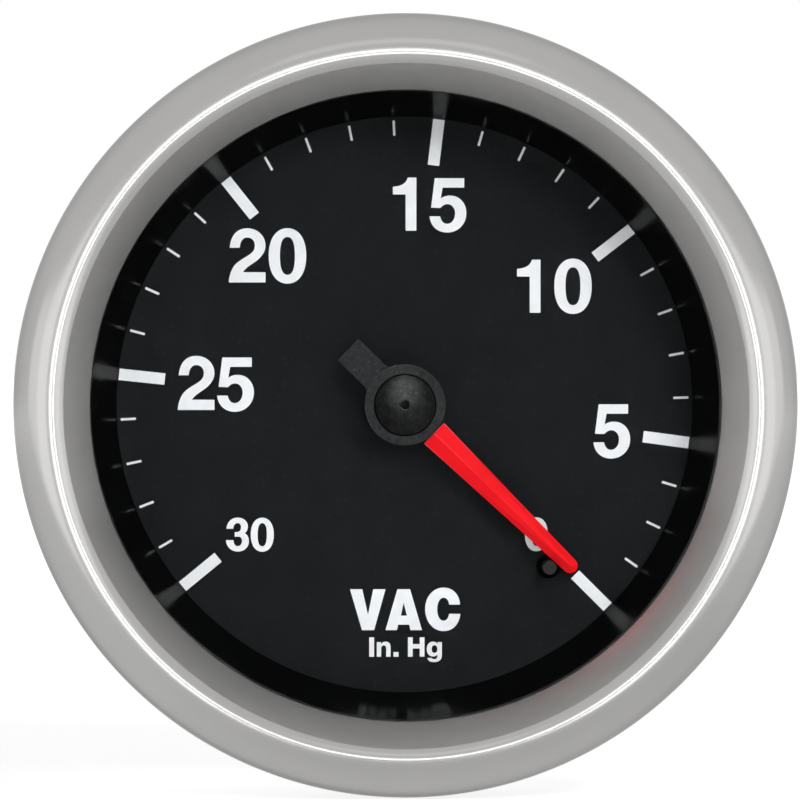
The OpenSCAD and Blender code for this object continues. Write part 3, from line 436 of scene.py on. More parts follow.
class Finish:
    """One material in the making, with short ways to add effects. Its shine is the shader's Specular IOR Level."""

    def __init__(self, slot, name, shine=0.5, **settings):
        self.material, self.shader = new_material(name, Specular_IOR_Level=shine, **settings)
        self.tree = self.material.node_tree
        finish[slot] = self.material

    def add(self, group, **values):
        """An effect with this part's own values."""
        node = new_node(self.tree, "Group", node_tree=group)
        for label, value in values.items():
            node.inputs[label].default_value = value
        return node.outputs

    def feed(self, source, label):
        self.tree.links.new(source, self.shader.inputs[label])

    def tones(self, size, first, second):
        """A base colour that drifts between two tones, over that many millimetres."""
        self.colour = self.add(drift, Size=size, First=(*first, 1), Second=(*second, 1))["Color"]
        self.feed(self.colour, "Base Color")

    def over(self, group, amount, colour, **values):
        """Lays another colour over the base colour, where the effect's mask is."""
        mask = self.add(group, **values)["Mask"]
        if amount < 1:
            mask = maths(self.tree, "MULTIPLY", mask, amount)
        node = new_node(self.tree, "Mix", data_type="RGBA")
        self.tree.links.new(mask, node.inputs["Factor"])
        self.tree.links.new(self.colour, node.inputs[6])
        node.inputs[7].default_value = (*colour, 1)
        self.colour = node.outputs[2]
        self.feed(self.colour, "Base Color")

    def bump(self, height, depth, after=None):
        """A bump of that depth in millimetres, on top of an earlier one if there is one."""
        node = new_node(self.tree, "Bump")
        node.inputs["Distance"].default_value = depth * MM
        self.tree.links.new(height, node.inputs["Height"])
        if after:
            self.tree.links.new(after.outputs["Normal"], node.inputs["Normal"])
        self.feed(node.outputs["Normal"], "Normal")
        return node

    def texture(self, group, depth, after=None, **values):
        """An effect that sets the roughness, and a bump of that depth unless it is 0."""
        made = self.add(group, **values)
        self.feed(made["Value"], "Roughness")
        if depth:
            self.bump(made["Height"], depth, after)

    def turned(self, pitch, depth):
        """Lathe lines of that pitch and depth."""
        return self.bump(self.add(turning, Pitch=pitch)["Height"], depth)

    def let_lamps_through(self):
        """A shadow ray meets a transparent shader and not the glass."""
        either = new_node(self.tree, "MixShader")
        rays = new_node(self.tree, "LightPath").outputs
        self.tree.links.new(rays["Is Shadow Ray"], either.inputs["Fac"])
        self.tree.links.new(self.shader.outputs[0], either.inputs[1])
        self.tree.links.new(new_node(self.tree, "BsdfTransparent").outputs[0], either.inputs[2])
        self.tree.links.new(either.outputs[0], self.tree.nodes["Material Output"].inputs["Surface"])


print("a finish is a material with its effects")

# %% [markdown]
# ## The bezel's satin aluminium
#
# The bezel is spun from soft aluminium sheet, tumbled or fine blasted and
# then anodised. It has no lathe lines left that an eye could find, only a
# very fine grain that breaks up the edge of the bright crest line.

# %% Satin aluminium
it = Finish("bezel_aluminium", "satin_aluminium", Metallic=1.0, Specular_Tint=(0.6, 0.6, 0.6, 1))
it.tones(14, (0.405, 0.402, 0.394), (0.43, 0.426, 0.418))
it.texture(grain, 0.0025, Size=0.14, Low=0.13, High=0.27)
print("made", it.material.name)

# %% [markdown]
# ## The window
#
# Clean flat glass shows itself only by what it mirrors. Lamps are let
# through it on purpose: a shadow ray meets a transparent shader, so the dial
# behind the glass is lit without the speckle that light through real glass
# makes in a path tracer.

# %% Clear window glass
window = {"Roughness": 0.0, "IOR": 1.15, "Transmission_Weight": 1.0, "Base_Color": (0.985, 0.99, 0.99, 1)}
it = Finish("lens_glass", "window_glass", **window)
it.let_lamps_through()
print("made", it.material.name)

# %% [markdown]
# ## Black parts behind the window
#
# Several blacks lie beside each other and must not look alike. The cone ring is
# moulded plastic with a gloss that mirrors the long marks. The dial is
# painted dead matt with a few grains of dust in the paint. The hub is satin
# plastic; its pale rubbed edges are wear and also a painted edge highlight.
# Its cap has a deeper grain and faint lathe lines, and its pale specks are
# mottle and also painted glints. The stop pin is blackened metal, rubbed at
# its rim. The gasket is dull rubber, a little paler than the dial.

# %% Glossy ring, matt dial, hub, cap, stop pin and rubber
it = Finish("ring_black", "glossy_black_plastic", Base_Color=(0.0006, 0.0007, 0.0008, 1), shine=0.22)
it.texture(grain, 0.002, Size=1.6, Low=0.12, High=0.2)

it = Finish("dial_black", "matt_black_paint", shine=0.02)
it.tones(3.5, (0.0076, 0.0086, 0.0093), (0.0104, 0.0114, 0.0121))
it.over(specks, 0.16, (0.16, 0.17, 0.17), Size=0.7, Share=0.3)
it.texture(grain, 0.006, Size=0.09, Low=0.72, High=0.9)

it = Finish("hub_black", "satin_black_plastic", shine=0.06)
it.tones(0.45, (0.009, 0.0095, 0.01), (0.027, 0.0285, 0.0295))
it.over(specks, 0.8, (0.085, 0.09, 0.09), Size=0.26, Share=0.35)
# pale rubbed edges: wear, and also a painted highlight along the hub's rim
it.over(rubbing, 0.6, (0.12, 0.12, 0.12), Width=0.1, Gain=2.0)
it.texture(grain, 0.006, Size=0.12, Low=0.42, High=0.6)

it = Finish("cap_black", "smooth_black_plastic", shine=0.02)
it.tones(0.6, (0.0045, 0.0048, 0.0048), (0.0125, 0.013, 0.0126))
# pale specks: mottle, and also painted glints of the cap's grain
it.over(specks, 0.9, (0.06, 0.062, 0.055), Size=0.22, Share=0.45)
it.texture(grain, 0.03, after=it.turned(0.16, 0.004), Size=0.16, Low=0.42, High=0.62)

it = Finish("stop_pin_black", "blackened_pin", shine=0.08)
it.tones(0.8, (0.011, 0.0122, 0.0122), (0.018, 0.0188, 0.018))
it.over(rubbing, 0.5, (0.19, 0.15, 0.14), Width=0.08, Gain=3.0)
it.texture(grain, 0.004, Size=0.1, Low=0.4, High=0.55)

it = Finish("gasket_rubber", "black_rubber", shine=0.25)
it.tones(4, (0.011, 0.011, 0.011), (0.02, 0.02, 0.019))
it.texture(grain, 0.02, Size=0.25, Low=0.6, High=0.85)
print("finishes so far:", len(finish))

# %% [markdown]
# ## Pointer red and printing white
#
# The pointer is stamped from thin sheet, folded to a low roof and sprayed
# red, so it is smooth but not mirror bright. Where the spray runs thin over
# an edge the red goes duller. The white of the marks and numbers is screen
# ink: it lies on the paint as a thin, slightly cool, slightly uneven layer.

# %% Red spray and white ink
it = Finish("pointer_red", "sprayed_red", shine=0.04)
it.tones(2.2, (0.665, 0.0052, 0.01), (0.73, 0.008, 0.0128))
it.over(rubbing, 0.45, (0.42, 0.05, 0.1), Width=0.1, Gain=2.5)
it.texture(grain, 0.004, Size=0.12, Low=0.34, High=0.5)

it = Finish("seat_white", "white_plastic", shine=0.35)
it.tones(5, (0.72, 0.73, 0.72), (0.8, 0.81, 0.8))
it.texture(grain, 0.01, Size=0.3, Low=0.35, High=0.55)

it = Finish("printed_white", "white_ink", shine=0.06)
it.tones(1.3, (0.695, 0.725, 0.743), (0.77, 0.765, 0.79))
it.texture(grain, 0.004, Size=0.1, Low=0.55, High=0.75)
print("finishes so far:", len(finish))

# %% [markdown]
# ## Steel
#
# The case is drawn from sheet and zinc plated: a bluish satin with a faint
# spangle. The clamp is a bent strip, brushed along its length. Screws, studs
# and nuts are turned from bright bar. The works' small shafts are polished.

# %% Case, clamp, screws and shafts
it = Finish("case_steel", "zinc_plated_sheet", Metallic=1.0)
it.tones(4, (0.5, 0.51, 0.52), (0.59, 0.6, 0.61))
it.texture(grain, 0, Size=1.1, Low=0.24, High=0.38)
it.turned(0.35, 0.004)

it = Finish("clamp_steel", "plated_strip_steel", Metallic=1.0)
it.tones(6, (0.5, 0.5, 0.49), (0.63, 0.62, 0.6))
it.over(rubbing, 1, (0.82, 0.81, 0.79), Width=0.25, Gain=4.0)
it.texture(brushing, 0.006, Stretch=(0.12, 0.12, 5.0), Low=0.24, High=0.44)

it = Finish("screw_steel", "bright_screw_steel", Metallic=1.0)
it.tones(2, (0.46, 0.46, 0.45), (0.6, 0.6, 0.58))
it.over(rubbing, 1, (0.84, 0.84, 0.82), Width=0.12, Gain=1.6)
it.texture(grain, 0.004, Size=0.3, Low=0.2, High=0.36)

it = Finish("arbor_steel", "polished_shaft_steel", Metallic=1.0)
it.tones(1.5, (0.6, 0.6, 0.61), (0.72, 0.72, 0.72))
it.texture(grain, 0.002, Size=0.15, Low=0.12, High=0.22)
print("finishes so far:", len(finish))

# %% [markdown]
# ## Brass and bronze
#
# The socket is milled and turned from brass bar and has begun to brown. The
# movement's plates and wheels are thin brushed brass that the case keeps
# bright. The tube and the hairspring are bronze, redder and drawn smooth.

# %% Socket, movement, tube, spring and terminals
it = Finish("socket_brass", "turned_brass", Metallic=1.0)
it.tones(4, (0.6, 0.42, 0.17), (0.76, 0.57, 0.27))
it.over(rubbing, 1, (0.9, 0.73, 0.4), Width=0.2, Gain=4.0)
it.texture(grain, 0, Size=0.5, Low=0.2, High=0.38)
it.turned(0.22, 0.008)

it = Finish("movement_brass", "brushed_brass", Metallic=1.0)
it.tones(3, (0.72, 0.53, 0.24), (0.82, 0.63, 0.31))
it.over(rubbing, 1, (0.93, 0.78, 0.48), Width=0.08, Gain=4.0)
it.texture(brushing, 0.003, Stretch=(0.25, 6.0, 6.0), Low=0.2, High=0.36)

it = Finish("tube_bronze", "drawn_bronze", Metallic=1.0)
it.tones(3, (0.56, 0.32, 0.15), (0.72, 0.45, 0.24))
it.texture(grain, 0, Size=0.8, Low=0.22, High=0.4)
it.turned(0.3, 0.004)

it = Finish("spring_bronze", "rolled_spring_bronze", Metallic=1.0)
it.tones(1, (0.66, 0.4, 0.2), (0.78, 0.52, 0.29))
it.texture(grain, 0.002, Size=0.1, Low=0.15, High=0.28)

it = Finish("terminal_brass", "tinned_brass", Metallic=1.0)
it.tones(1.2, (0.62, 0.52, 0.34), (0.74, 0.7, 0.6))
it.texture(brushing, 0.004, Stretch=(4.0, 0.3, 4.0), Low=0.24, High=0.42)
print("finishes so far:", len(finish))

# %% [markdown]
# ## The lamp
#
# The lamp holder is black moulded plastic with the fine spark-eroded texture
# of its mould. The bulb is clear glass: like the window it lets lamps
# through, and its roughness wanders a little so that it doesn't look empty.

# %% Lamp holder and bulb
it = Finish("lamp_plastic", "textured_black_plastic", shine=0.4)
it.tones(3, (0.014, 0.014, 0.015), (0.024, 0.024, 0.025))
it.over(rubbing, 0.4, (0.07, 0.07, 0.07), Width=0.2, Gain=2.0)
it.texture(grain, 0.02, Size=0.16, Low=0.42, High=0.62)

it = Finish("bulb_glass", "bulb_glass", IOR=1.45, Transmission_Weight=1.0, Base_Color=(0.97, 0.97, 0.95, 1))
it.texture(grain, 0.02, Size=2.5, Low=0.0, High=0.06)
it.let_lamps_through()
print("finishes:", len(finish))

# %% Put the finishes on the solids
missing, drawn_slots = set(), set()
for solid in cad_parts.values():
    for place in solid.material_slots:
        wanted = place.material.name.split(".")[0]
        drawn_slots.add(wanted)
        if wanted in finish:
            place.material = finish[wanted]
        else:
            missing.add(wanted)
print("slots without a finish:", sorted(missing))

# %% [markdown]
# ## A helper for spun parts
#
# The bezel, the cone ring and the threads are all round. Each is a profile,
# given as (radius, z) in millimetres, that goes once round the axis. We
# could use a Screw modifier, but building the faces ourselves keeps the mesh
# clean and lets us choose how fine it is: a mirror-like ring shows every
# flat, so it gets 256 steps.

# %% Spin a profile


def arc(centre, wide, high, start, end, steps):
    """Points on an ellipse from start to end, in degrees."""
    angles = [math.radians(start + (end - start) * i / steps) for i in range(steps + 1)]
    return [(centre[0] + wide * math.cos(a), centre[1] + high * math.sin(a)) for a in angles]


def piece(name, mesh, slot, body="gauge", sharp=30):
    """Links a mesh as a part that rides on a body, with its finish, and keeps its corners crisp."""
    bm = bmesh.new()
    bm.from_mesh(mesh)
    bmesh.ops.recalc_face_normals(bm, faces=bm.faces)
    bm.to_mesh(mesh)
    bm.free()
    mesh.shade_smooth()
    mesh.set_sharp_from_angle(angle=math.radians(sharp))
    mesh.materials.append(finish[slot])
    thing = bpy.data.objects.new(name, mesh)
    bpy.context.scene.collection.objects.link(thing)
    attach(thing, body)
    return thing


def circle(centre, radius, z, steps):
    """Places on a circle round an axis through centre, all at that z."""
    turns = [2 * math.pi * k / steps for k in range(steps)]
    return [spot(centre[0] + radius * math.cos(a), centre[1] + radius * math.sin(a), z) for a in turns]


def spun(name, profile, slot, body="gauge", steps=256, sharp=30, centre=(0, 0)):
    """A closed profile of (radius, z) spun round an axis through centre."""
    rings = [circle(centre, radius, z, steps) for radius, z in profile]
    verts = [ring[k] for k in range(steps) for ring in rings]
    n = len(profile)
    faces = []
    for k in range(steps):
        faces += band(k * n, (k + 1) % steps * n, n)
    return piece(name, shape(name, verts, faces), slot, body, sharp)


print("spin helper ready")

# %% [markdown]
# ## The bezel
#
# On the real gauge this is one piece of sheet, spun over a former: it rises
# from the panel, domes over to a tight crest, falls steeply to the window,
# and its rear edge is rolled in behind the case's flange. The tight crest is
# what makes the thin bright line, so its roundness counts more than anything
# else on the dial's edge. The profile repeats the solid's sizes.

# %% Spin the bezel
R, SHEET, HEIGHT, SIDE = 36.0, 1.0, 11.2, 6.4
CREST_R, OPENING_R, CREST_ROUND = 32.4, 28.95, 1.5
LIP_Z, LIP_THICK, LIP_ROUND = 7.4, 0.5, 0.12
CRIMP, CRIMP_R, EDGE = 1.2, 33.75, 0.6
SEAM = 2  # degrees left out of the inner arc, so that no point comes twice

middle = (CREST_R, HEIGHT - CREST_ROUND)
fall = (middle[0] - OPENING_R, middle[1] - LIP_Z - LIP_THICK)
slope = math.degrees(math.atan2(fall[1], fall[0]) + math.asin(CREST_ROUND / math.hypot(*fall)))
steep = 90 + slope
under = CREST_ROUND - SHEET
under_r, under_z = arc(middle, under, under, steep, steep, 1)[0]
profile = [(CRIMP_R, 0.0)]
profile += arc((R - EDGE, EDGE), EDGE, EDGE, -90, 0, 8)
profile += arc((CREST_R, SIDE), R - CREST_R, HEIGHT - SIDE, 0, 90, 40)
profile += arc(middle, CREST_ROUND, CREST_ROUND, 90, steep, 20)[1:]
profile += arc((OPENING_R + LIP_ROUND, LIP_Z + LIP_THICK - LIP_ROUND), LIP_ROUND, LIP_ROUND, steep, 180, 5)
profile += [(OPENING_R, LIP_Z), (under_r - (under_z - LIP_Z) / math.tan(math.radians(slope)), LIP_Z)]
profile += arc(middle, under, under, steep, 90 + SEAM, 6)
profile += arc((CREST_R, SIDE), R - SHEET - CREST_R, HEIGHT - SHEET - SIDE, 90, 0, 16)
profile += [(R - SHEET, CRIMP), (CRIMP_R, CRIMP)]
bezel = spun("bezel_spun", profile, "bezel_aluminium")
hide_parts("bezel")
print("bezel profile points:", len(profile), "slope:", round(slope, 1))

# %% [markdown]
# ## The cone ring
#
# Between window and dial stands a steep glossy ring. Its job is to hide the
# case's wall, and because it leans it mirrors the dial's long marks. Its
# foot is a hair round, as a moulded edge is.

# %% Spin the cone ring
RING_FOOT_R, RING_WALL, FLANGE_THICK = 26.65, 1.2, 1.0
SEAT_Z, GASKET_Z, SKIRT_R, SKIRT_WALL, SKIRT_Z = 0.5, 4.6, 34.7, 1.4, 2.0

profile = [(RING_FOOT_R + 0.08, SEAT_Z), (RING_FOOT_R, SEAT_Z + 0.05)]
profile += [(OPENING_R - 0.1, GASKET_Z - 0.16), (OPENING_R - 0.04, GASKET_Z - 0.04), (OPENING_R + 0.08, GASKET_Z)]
profile += [(SKIRT_R, GASKET_Z), (SKIRT_R, SKIRT_Z), (SKIRT_R - SKIRT_WALL, SKIRT_Z)]
profile += [(SKIRT_R - SKIRT_WALL, GASKET_Z - FLANGE_THICK), (OPENING_R + RING_WALL, GASKET_Z - FLANGE_THICK)]
profile += [(RING_FOOT_R + RING_WALL, SEAT_Z)]
ring = spun("cone_ring_moulded", profile, "ring_black", sharp=20)
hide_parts("inner_ring")
print("ring made")

# %% [markdown]
# ## The dial's marks
#
# The scale runs from 0 to 30 over 264 degrees. A long bar marks every fifth
# unit and a thin short one every unit between, except at 1, where the
# pointer's rest leaves no room for one. Each mark is an outline in one flat
# curve, filled and given the thickness of a coat of ink.

# %% Print the marks
DIAL_Z, INK, INK_SUNK = 0.5, 0.02, 0.004
DEGREES_PER_UNIT, ZERO_LINE, ZERO_MARK = 9.0785, -53.05, -44.9
LAST_UNIT, LONG_EVERY = 30, 5
LONG_BAR, SHORT_BAR = (22.3, 26.56, 1.065), (24.9, 26.29, 0.215)  # from radius, to radius, width


def printed(name):
    """An empty flat curve that lies on the dial as a coat of ink. Its own x and y are the dial's, in metres."""
    curve = bpy.data.curves.new(name, "CURVE")
    curve.dimensions = "2D"
    curve.fill_mode = "BOTH"
    curve.extrude = INK / 2 * MM
    curve.resolution_u = 10
    thing = bpy.data.objects.new(name, curve)
    thing.rotation_euler.x = math.pi / 2
    thing.location = spot(0, 0, DIAL_Z + INK / 2 - INK_SUNK)
    bpy.context.scene.collection.objects.link(thing)
    curve.materials.append(finish["printed_white"])
    return thing


def bar(curve, angle, inner, outer, wide):
    """One straight mark across the radius."""
    a = math.radians(angle)
    along, aside = Vector((math.cos(a), math.sin(a), 0)), Vector((-math.sin(a), math.cos(a), 0))
    spline = curve.splines.new("POLY")
    spline.points.add(3)
    for point, reach, side in zip(spline.points, (inner, outer, outer, inner), (-1, -1, 1, 1)):
        point.co = (*(along * reach + aside * wide * side / 2) * MM, 1)
    spline.use_cyclic_u = True


long_marks, short_marks = printed("marks_long"), printed("marks_short")
for value in range(LAST_UNIT + 1):
    angle = ZERO_MARK if value == 0 else ZERO_LINE + DEGREES_PER_UNIT * value
    if value % LONG_EVERY == 0:
        bar(long_marks.data, angle, *LONG_BAR)
    elif value > 1:
        bar(short_marks.data, angle, *SHORT_BAR)
for thing in (long_marks, short_marks):  # a curve rides once its outlines are in, so that its box is right
    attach(thing, "gauge")
print("marks:", len(long_marks.data.splines), "long,", len(short_marks.data.splines), "short")

# %% [markdown]
# ## Drawing the numbers
#
# The numbers are a plain heavy grotesque. A font would do, but a drawn
# outline follows the real proportions: the flag of the 1, the open bowl of
# the 5. Each knot is its place and, where a curve leaves or reaches it, the
# two handles as steps from it. The drawing unit is about a tenth of a
# millimetre, and a big number stands 52 units tall.

# %% Outlines of the numbers
ZERO = [
    [
        (18.4, 53.1, -10.8, 0, 10.8, 0), (36.8, 26, 0, 17.4, 0, -17.4), (18.4, -1.2, 10.8, 0, -10.8, 0),
        (0, 26, 0, -17.4, 0, 17.4),
    ],
    [
        (18.4, 44.5, -4.9, 0, 4.9, 0), (25.7, 26, 0, 12.8, 0, -12.8), (18.4, 7.4, 4.9, 0, -4.9, 0),
        (11, 26, 0, -12.8, 0, 12.8),
    ],
]
ONE = [[
    (12.5, 0), (12.5, 35.5), (0, 35.5), (0, 43, 0, 0, 8.3, 0.4), (14.5, 52, -1, -5.5, 0, 0), (23, 52), (23, 0),
]]
TWO = [[
    (0.9, 34, 0, 0, 0.9, 11.4), (18.1, 53, -10.6, 0, 10.2, 0), (35.9, 36.2, 0, 9.2, 0, -5.4),
    (29.2, 22.9, 4, 4, -2.6, -2.5), (19.9, 16.2, 3.4, 2.4, -2.2, -1.6), (13.8, 10.1, 1.4, 2.2, 0, 0),
    (35.9, 9.9), (35.9, 0), (0, 0, 0, 0, 0.2, 6.6), (5.2, 16.2, -2.6, -3.9, 3.4, 4.4),
    (19.3, 26.6, -4.6, -3, 3.9, 2.6), (25.5, 36.4, 0, -4.9, 0, 4.6), (18.1, 44, 4.2, 0, -4.9, 0),
    (10.7, 34, 0.3, 5.4, 0, 0),
]]
THREE = [[
    (0.7, 35.5, 0, 0, 1, 10.6), (18.6, 53.3, -10, 0, 9.6, 0), (34.9, 39, 0, 8.2, 0, -4.6),
    (29.9, 28.4, 3, 2.2, 4.2, -2.2), (36.5, 15.4, 0, 6.4, 0, -9.4), (18.9, -0.9, 10.2, 0, -10.8, 0),
    (0, 17.3, 0.2, -10, 0, 0), (11.8, 17.3, 0, 0, 0.5, -6), (18.6, 7.8, -4, 0, 4.2, 0),
    (25.4, 16, 0, -4.9, 0, 4.5), (20.2, 22.9, 3, 0, 0, 0), (13.9, 22.9), (13.9, 30.2),
    (16.8, 30.2, 0, 0, 4.8, 0.2), (24, 37.9, 0, -4.6, 0, 4), (18.6, 44.5, 3.4, 0, -4.2, 0),
    (11.5, 35.5, 0.4, 5.4, 0, 0),
]]
FIVE = [[
    (5.2, 51.4), (34, 51.4), (34, 42.2), (12.9, 42.2), (11, 31.5, 0, 0, 2.6, 1.9),
    (20.2, 34.4, -3.6, 0, 9.2, 0), (36.1, 17.1, 0, 9.9, 0, -10.8), (17.4, -1.8, 10.5, 0, -10, 0),
    (0, 14.1, 0.8, -9.2, 0, 0), (10.4, 14.1, 0, 0, 0.9, -4.6), (17.3, 6.7, -3.7, 0, 4.5, 0),
    (25.1, 17.1, 0, -5.8, 0, 5.2), (17.6, 26, 4.2, 0, -2.8, 0), (10.7, 22.2, 1.6, 2.1, 0, 0), (1.5, 22.6),
]]
print("outlines:", sum(len(outlines) for outlines in (ZERO, ONE, TWO, THREE, FIVE)))

# %% Print the numbers
UNIT = 1 / 10.8  # drawing unit in millimetres
BIG, SMALL = 1.02, 0.626


def draw(curve, outlines, x, y, size):
    """Adds one character to a printed curve, its lower left corner at x, y in drawing units from the centre."""
    for outline in outlines:
        spline = curve.splines.new("BEZIER")
        spline.bezier_points.add(len(outline) - 1)
        spline.use_cyclic_u = True
        for knot, values in zip(spline.bezier_points, outline):
            px, py, ax, ay, bx, by = (list(values) + [0] * 4)[:6]
            centre = Vector((x + px * size, y + py * size, 0)) * UNIT * MM
            knot.handle_left_type = knot.handle_right_type = "FREE"
            knot.co = centre
            knot.handle_left = centre + Vector((ax, ay, 0)) * size * UNIT * MM
            knot.handle_right = centre + Vector((bx, by, 0)) * size * UNIT * MM


numbers = printed("numbers")
for shown, x, y, size in (
    (ZERO, 120.3, -146.0, SMALL), (FIVE, 188.9, -52.2, BIG), (ONE, 112.4, 91.8, BIG), (ZERO, 149.6, 91.8, BIG),
    (ONE, -11.7, 173.8, BIG), (FIVE, 24.9, 173.8, BIG), (TWO, -175.6, 122.1, BIG), (ZERO, -135.8, 122.1, BIG),
    (TWO, -226.6, -5.3, BIG), (FIVE, -187.4, -5.3, BIG),
    (THREE, -178.5, -146.3, SMALL), (ZERO, -153.8, -146.3, SMALL),
):
    draw(numbers.data, shown, x, y, size)
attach(numbers, "gauge")
print("numbers:", len(numbers.data.splines), "outlines")

# %% [markdown]
# ## What is measured, and in which unit
#
# Below the pivot a gauge says what it measures and in which unit. The big
# letters are nearly square and very heavy. The small line is drawn letter by
# letter too, with its tail and its full stop.

# %% Outlines of the letters
LETTER_V = [[(0, 41), (12.2, 41), (18, 15.3), (23.3, 41), (35.5, 41), (24.1, 0), (12, 0)]]
LETTER_A = [
    [(0, 0), (12, 41), (24.5, 41), (36.5, 0), (25.1, 0), (23.7, 5.5), (12.7, 5.5), (11.4, 0)],
    [(15.3, 14.5), (21.4, 14.5), (18.2, 27.5)],
]
LETTER_C = [[
    (35, 25.5, 0, 0, -0.6, 9.9), (18.4, 42.6, 9.6, 0, -10.6, 0), (0, 20.8, 0, 12.3, 0, -12.2),
    (18.5, -1, -10.4, 0, 9.8, 0), (35.3, 16.2, -0.9, -9.6, 0, 0), (24.1, 16.4, 0, 0, -0.6, -4.2),
    (18.5, 9.4, 3, 0, -3.9, 0), (12.1, 20.8, 0, -6.4, 0, 6.5), (18.5, 32.4, -3.9, 0, 3.1, 0),
    (24.1, 25.5, -0.5, 4, 0, 0),
]]
LETTER_I = [[(0, 0), (0, 19.4), (4.9, 19.4), (4.9, 0)]]
LETTER_N = [[
    (0, 0), (0, 14.6), (4.2, 14.6), (4.2, 12.5, 0, 0, 1.2, 1.8), (8.9, 15.1, -2.2, 0, 3.2, 0),
    (13.8, 9.6, 0, 3.4, 0, 0), (13.8, 0), (9.4, 0), (9.4, 8.4, 0, 0, 0, 1.8), (7, 11.4, 1.5, 0, -1.7, 0),
    (4.4, 8.2, 0, 1.9, 0, 0), (4.4, 0),
]]
FULL_STOP = [[(0, 0), (0, 4.7), (5, 4.7), (5, 0)]]
LETTER_H = [[
    (0, 0), (0, 19.4), (4.7, 19.4), (4.7, 12.7), (11.8, 12.7), (11.8, 19.4), (16.5, 19.4), (16.5, 0),
    (11.8, 0), (11.8, 8.2), (4.7, 8.2), (4.7, 0),
]]
LETTER_G = [
    [
        (15.1, 14.6), (15.1, 1, 0, 0, 0, -4.2), (7.4, -5.4, 4.2, 0, -3.8, 0), (0.6, -1.2, 0.2, -2.8, 0, 0),
        (5, -1.2, 0, 0, 0.2, -1), (7.6, -2.5, -1.2, 0, 1.9, 0), (10.7, 0.8, 0, -2.1, 0, 0),
        (10.7, 2.2, 0, 0, -1, -1.4), (6.2, 0.2, 2, 0, -3.8, 0), (0, 7.6, 0, -4.3, 0, 4.3),
        (6.2, 15.1, -3.8, 0, 2, 0), (10.8, 12.7, -1.1, 1.6, 0, 0), (10.8, 14.6),
    ],
    [
        (7.7, 11.5, -1.9, 0, 1.7, 0), (10.6, 7.6, 0, 2.2, 0, -2.3), (7.7, 3.8, 1.7, 0, -1.9, 0),
        (4.9, 7.6, 0, -2.3, 0, 2.2),
    ],
]
print("letters drawn")

# %% Print the letters
QUANTITY_Y, UNIT_LINE_Y, UNIT_LINE_X = -225.6, -252.2, -35.4

quantity, unit_line = printed("quantity_letters"), printed("unit_letters")
for letter, x in ((LETTER_V, -54.6), (LETTER_A, -19.1), (LETTER_C, 20.5)):
    draw(quantity.data, letter, x, QUANTITY_Y, 1)
for letter, x in ((LETTER_I, 0), (LETTER_N, 7.6), (FULL_STOP, 24.3), (LETTER_H, 38.8), (LETTER_G, 57.6)):
    draw(unit_line.data, letter, x + UNIT_LINE_X, UNIT_LINE_Y, 1)
for thing in (quantity, unit_line):
    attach(thing, "gauge")
print("letters:", len(quantity.data.splines) + len(unit_line.data.splines), "outlines")

# %% [markdown]
# ## Threads
#
# The inlet and the two studs carry real threads, and a smooth rod at the
# back would look unfinished. A bump could fake them, but the outline of a
# thread shows from the side, so we cut it: a rod whose radius rises and
# falls once each turn along a helix, with the ends left plain. The crest
# keeps the solid's radius, so nothing grows.

# %% A threaded rod
ROWS_PER_TURN = 8
RUN_OUT = 0.6  # in pitches, where the thread grows out of the rod
CHAMFER, CHAMFER_LONG = 0.5, 0.6
STEEPER, FLAT = 1.3, 0.15  # they give the wave its flat crests and roots


def thread_radius(z, turn, front, rear, radius, pitch, depth):
    """The rod's radius at a height and a share of the turn."""
    share = 1.0
    if z >= rear + pitch:
        share = max(0.0, min(1.0, min(front - z, z - rear) / (pitch * RUN_OUT)))
    wave = abs(((z / pitch + turn) % 1.0) * 2 - 1)
    wave = min(1.0, max(0.0, wave * STEEPER - FLAT))
    return radius - depth * wave * share - max(0.0, 1 - (z - rear) / CHAMFER_LONG) * CHAMFER


def threaded(name, centre, ends, radius, pitch, depth, slot, bore=0.0, steps=36):
    """A rod between two heights, front first, with a screw thread of that pitch and depth."""
    front, rear = ends
    rows = int((front - rear) / pitch * ROWS_PER_TURN)
    verts, faces = [], []
    for row in range(rows + 1):
        z = front + (rear - front) * row / rows
        for k in range(steps):
            r = thread_radius(z, k / steps, front, rear, radius, pitch, depth)
            a = 2 * math.pi * (k / steps)
            verts.append(spot(centre[0] + r * math.cos(a), centre[1] + r * math.sin(a), z))
    for here in range(0, rows * steps, steps):
        faces += band(here, here + steps, steps)
    last, inner = rows * steps, len(verts)
    if bore:
        verts += circle(centre, bore, front, steps) + circle(centre, bore, rear, steps)
        for k in range(steps):
            n = (k + 1) % steps
            faces.append((k, inner + k, inner + n, n))
            faces.append((last + k, last + n, inner + steps + n, inner + steps + k))
            faces.append((inner + k, inner + steps + k, inner + steps + n, inner + n))
    else:
        faces += [tuple(range(steps)), tuple(range(last + steps - 1, last - 1, -1))]
    return piece(name, shape(name, verts, faces), slot, "gauge", 50)


print("thread helper ready")

# %% [markdown]
# ## Small things on the pointer and the dial
#
# A close look at the middle shows what makes it real. The cap is a low cone
# that runs up to a small moulded hole, and it sits in a shallow recess; a
# near-black ring round its foot is painted shade, the thin black line of that
# gap. The arbor's end in the hole is blackened, a dark plug that also paints
# the hole's shade. The stop pin is cut off flat and stands in a hole with a
# near-black fibre washer behind it, which paints the shade in the hole, so no
# brass shines through.

# %% Cap, painted shade ring, arbor end, pin top and washer
HUB_TOP, CAP_R, CAP_TOP, CAP_HOLE_R = 3.1, 2.75, 4.2, 0.42
PIN_REACH, PIN_ANGLE, PIN_R, PIN_TOP = 20.08, math.radians(-48.4), 0.636, 3.303
CAP_SHADE_RING, WASHER = (2.6, 2.89, 3.08, 3.115), (0.64, 1.9, -0.9, -0.14)  # from radius, to radius, from z, to z
CORE = 0.002  # a spun profile starts this far from the axis


def flat_ring(inner, outer, low, high):
    """The profile of a ring with square corners."""
    return [(inner, low), (outer, low), (outer, high), (inner, high)]


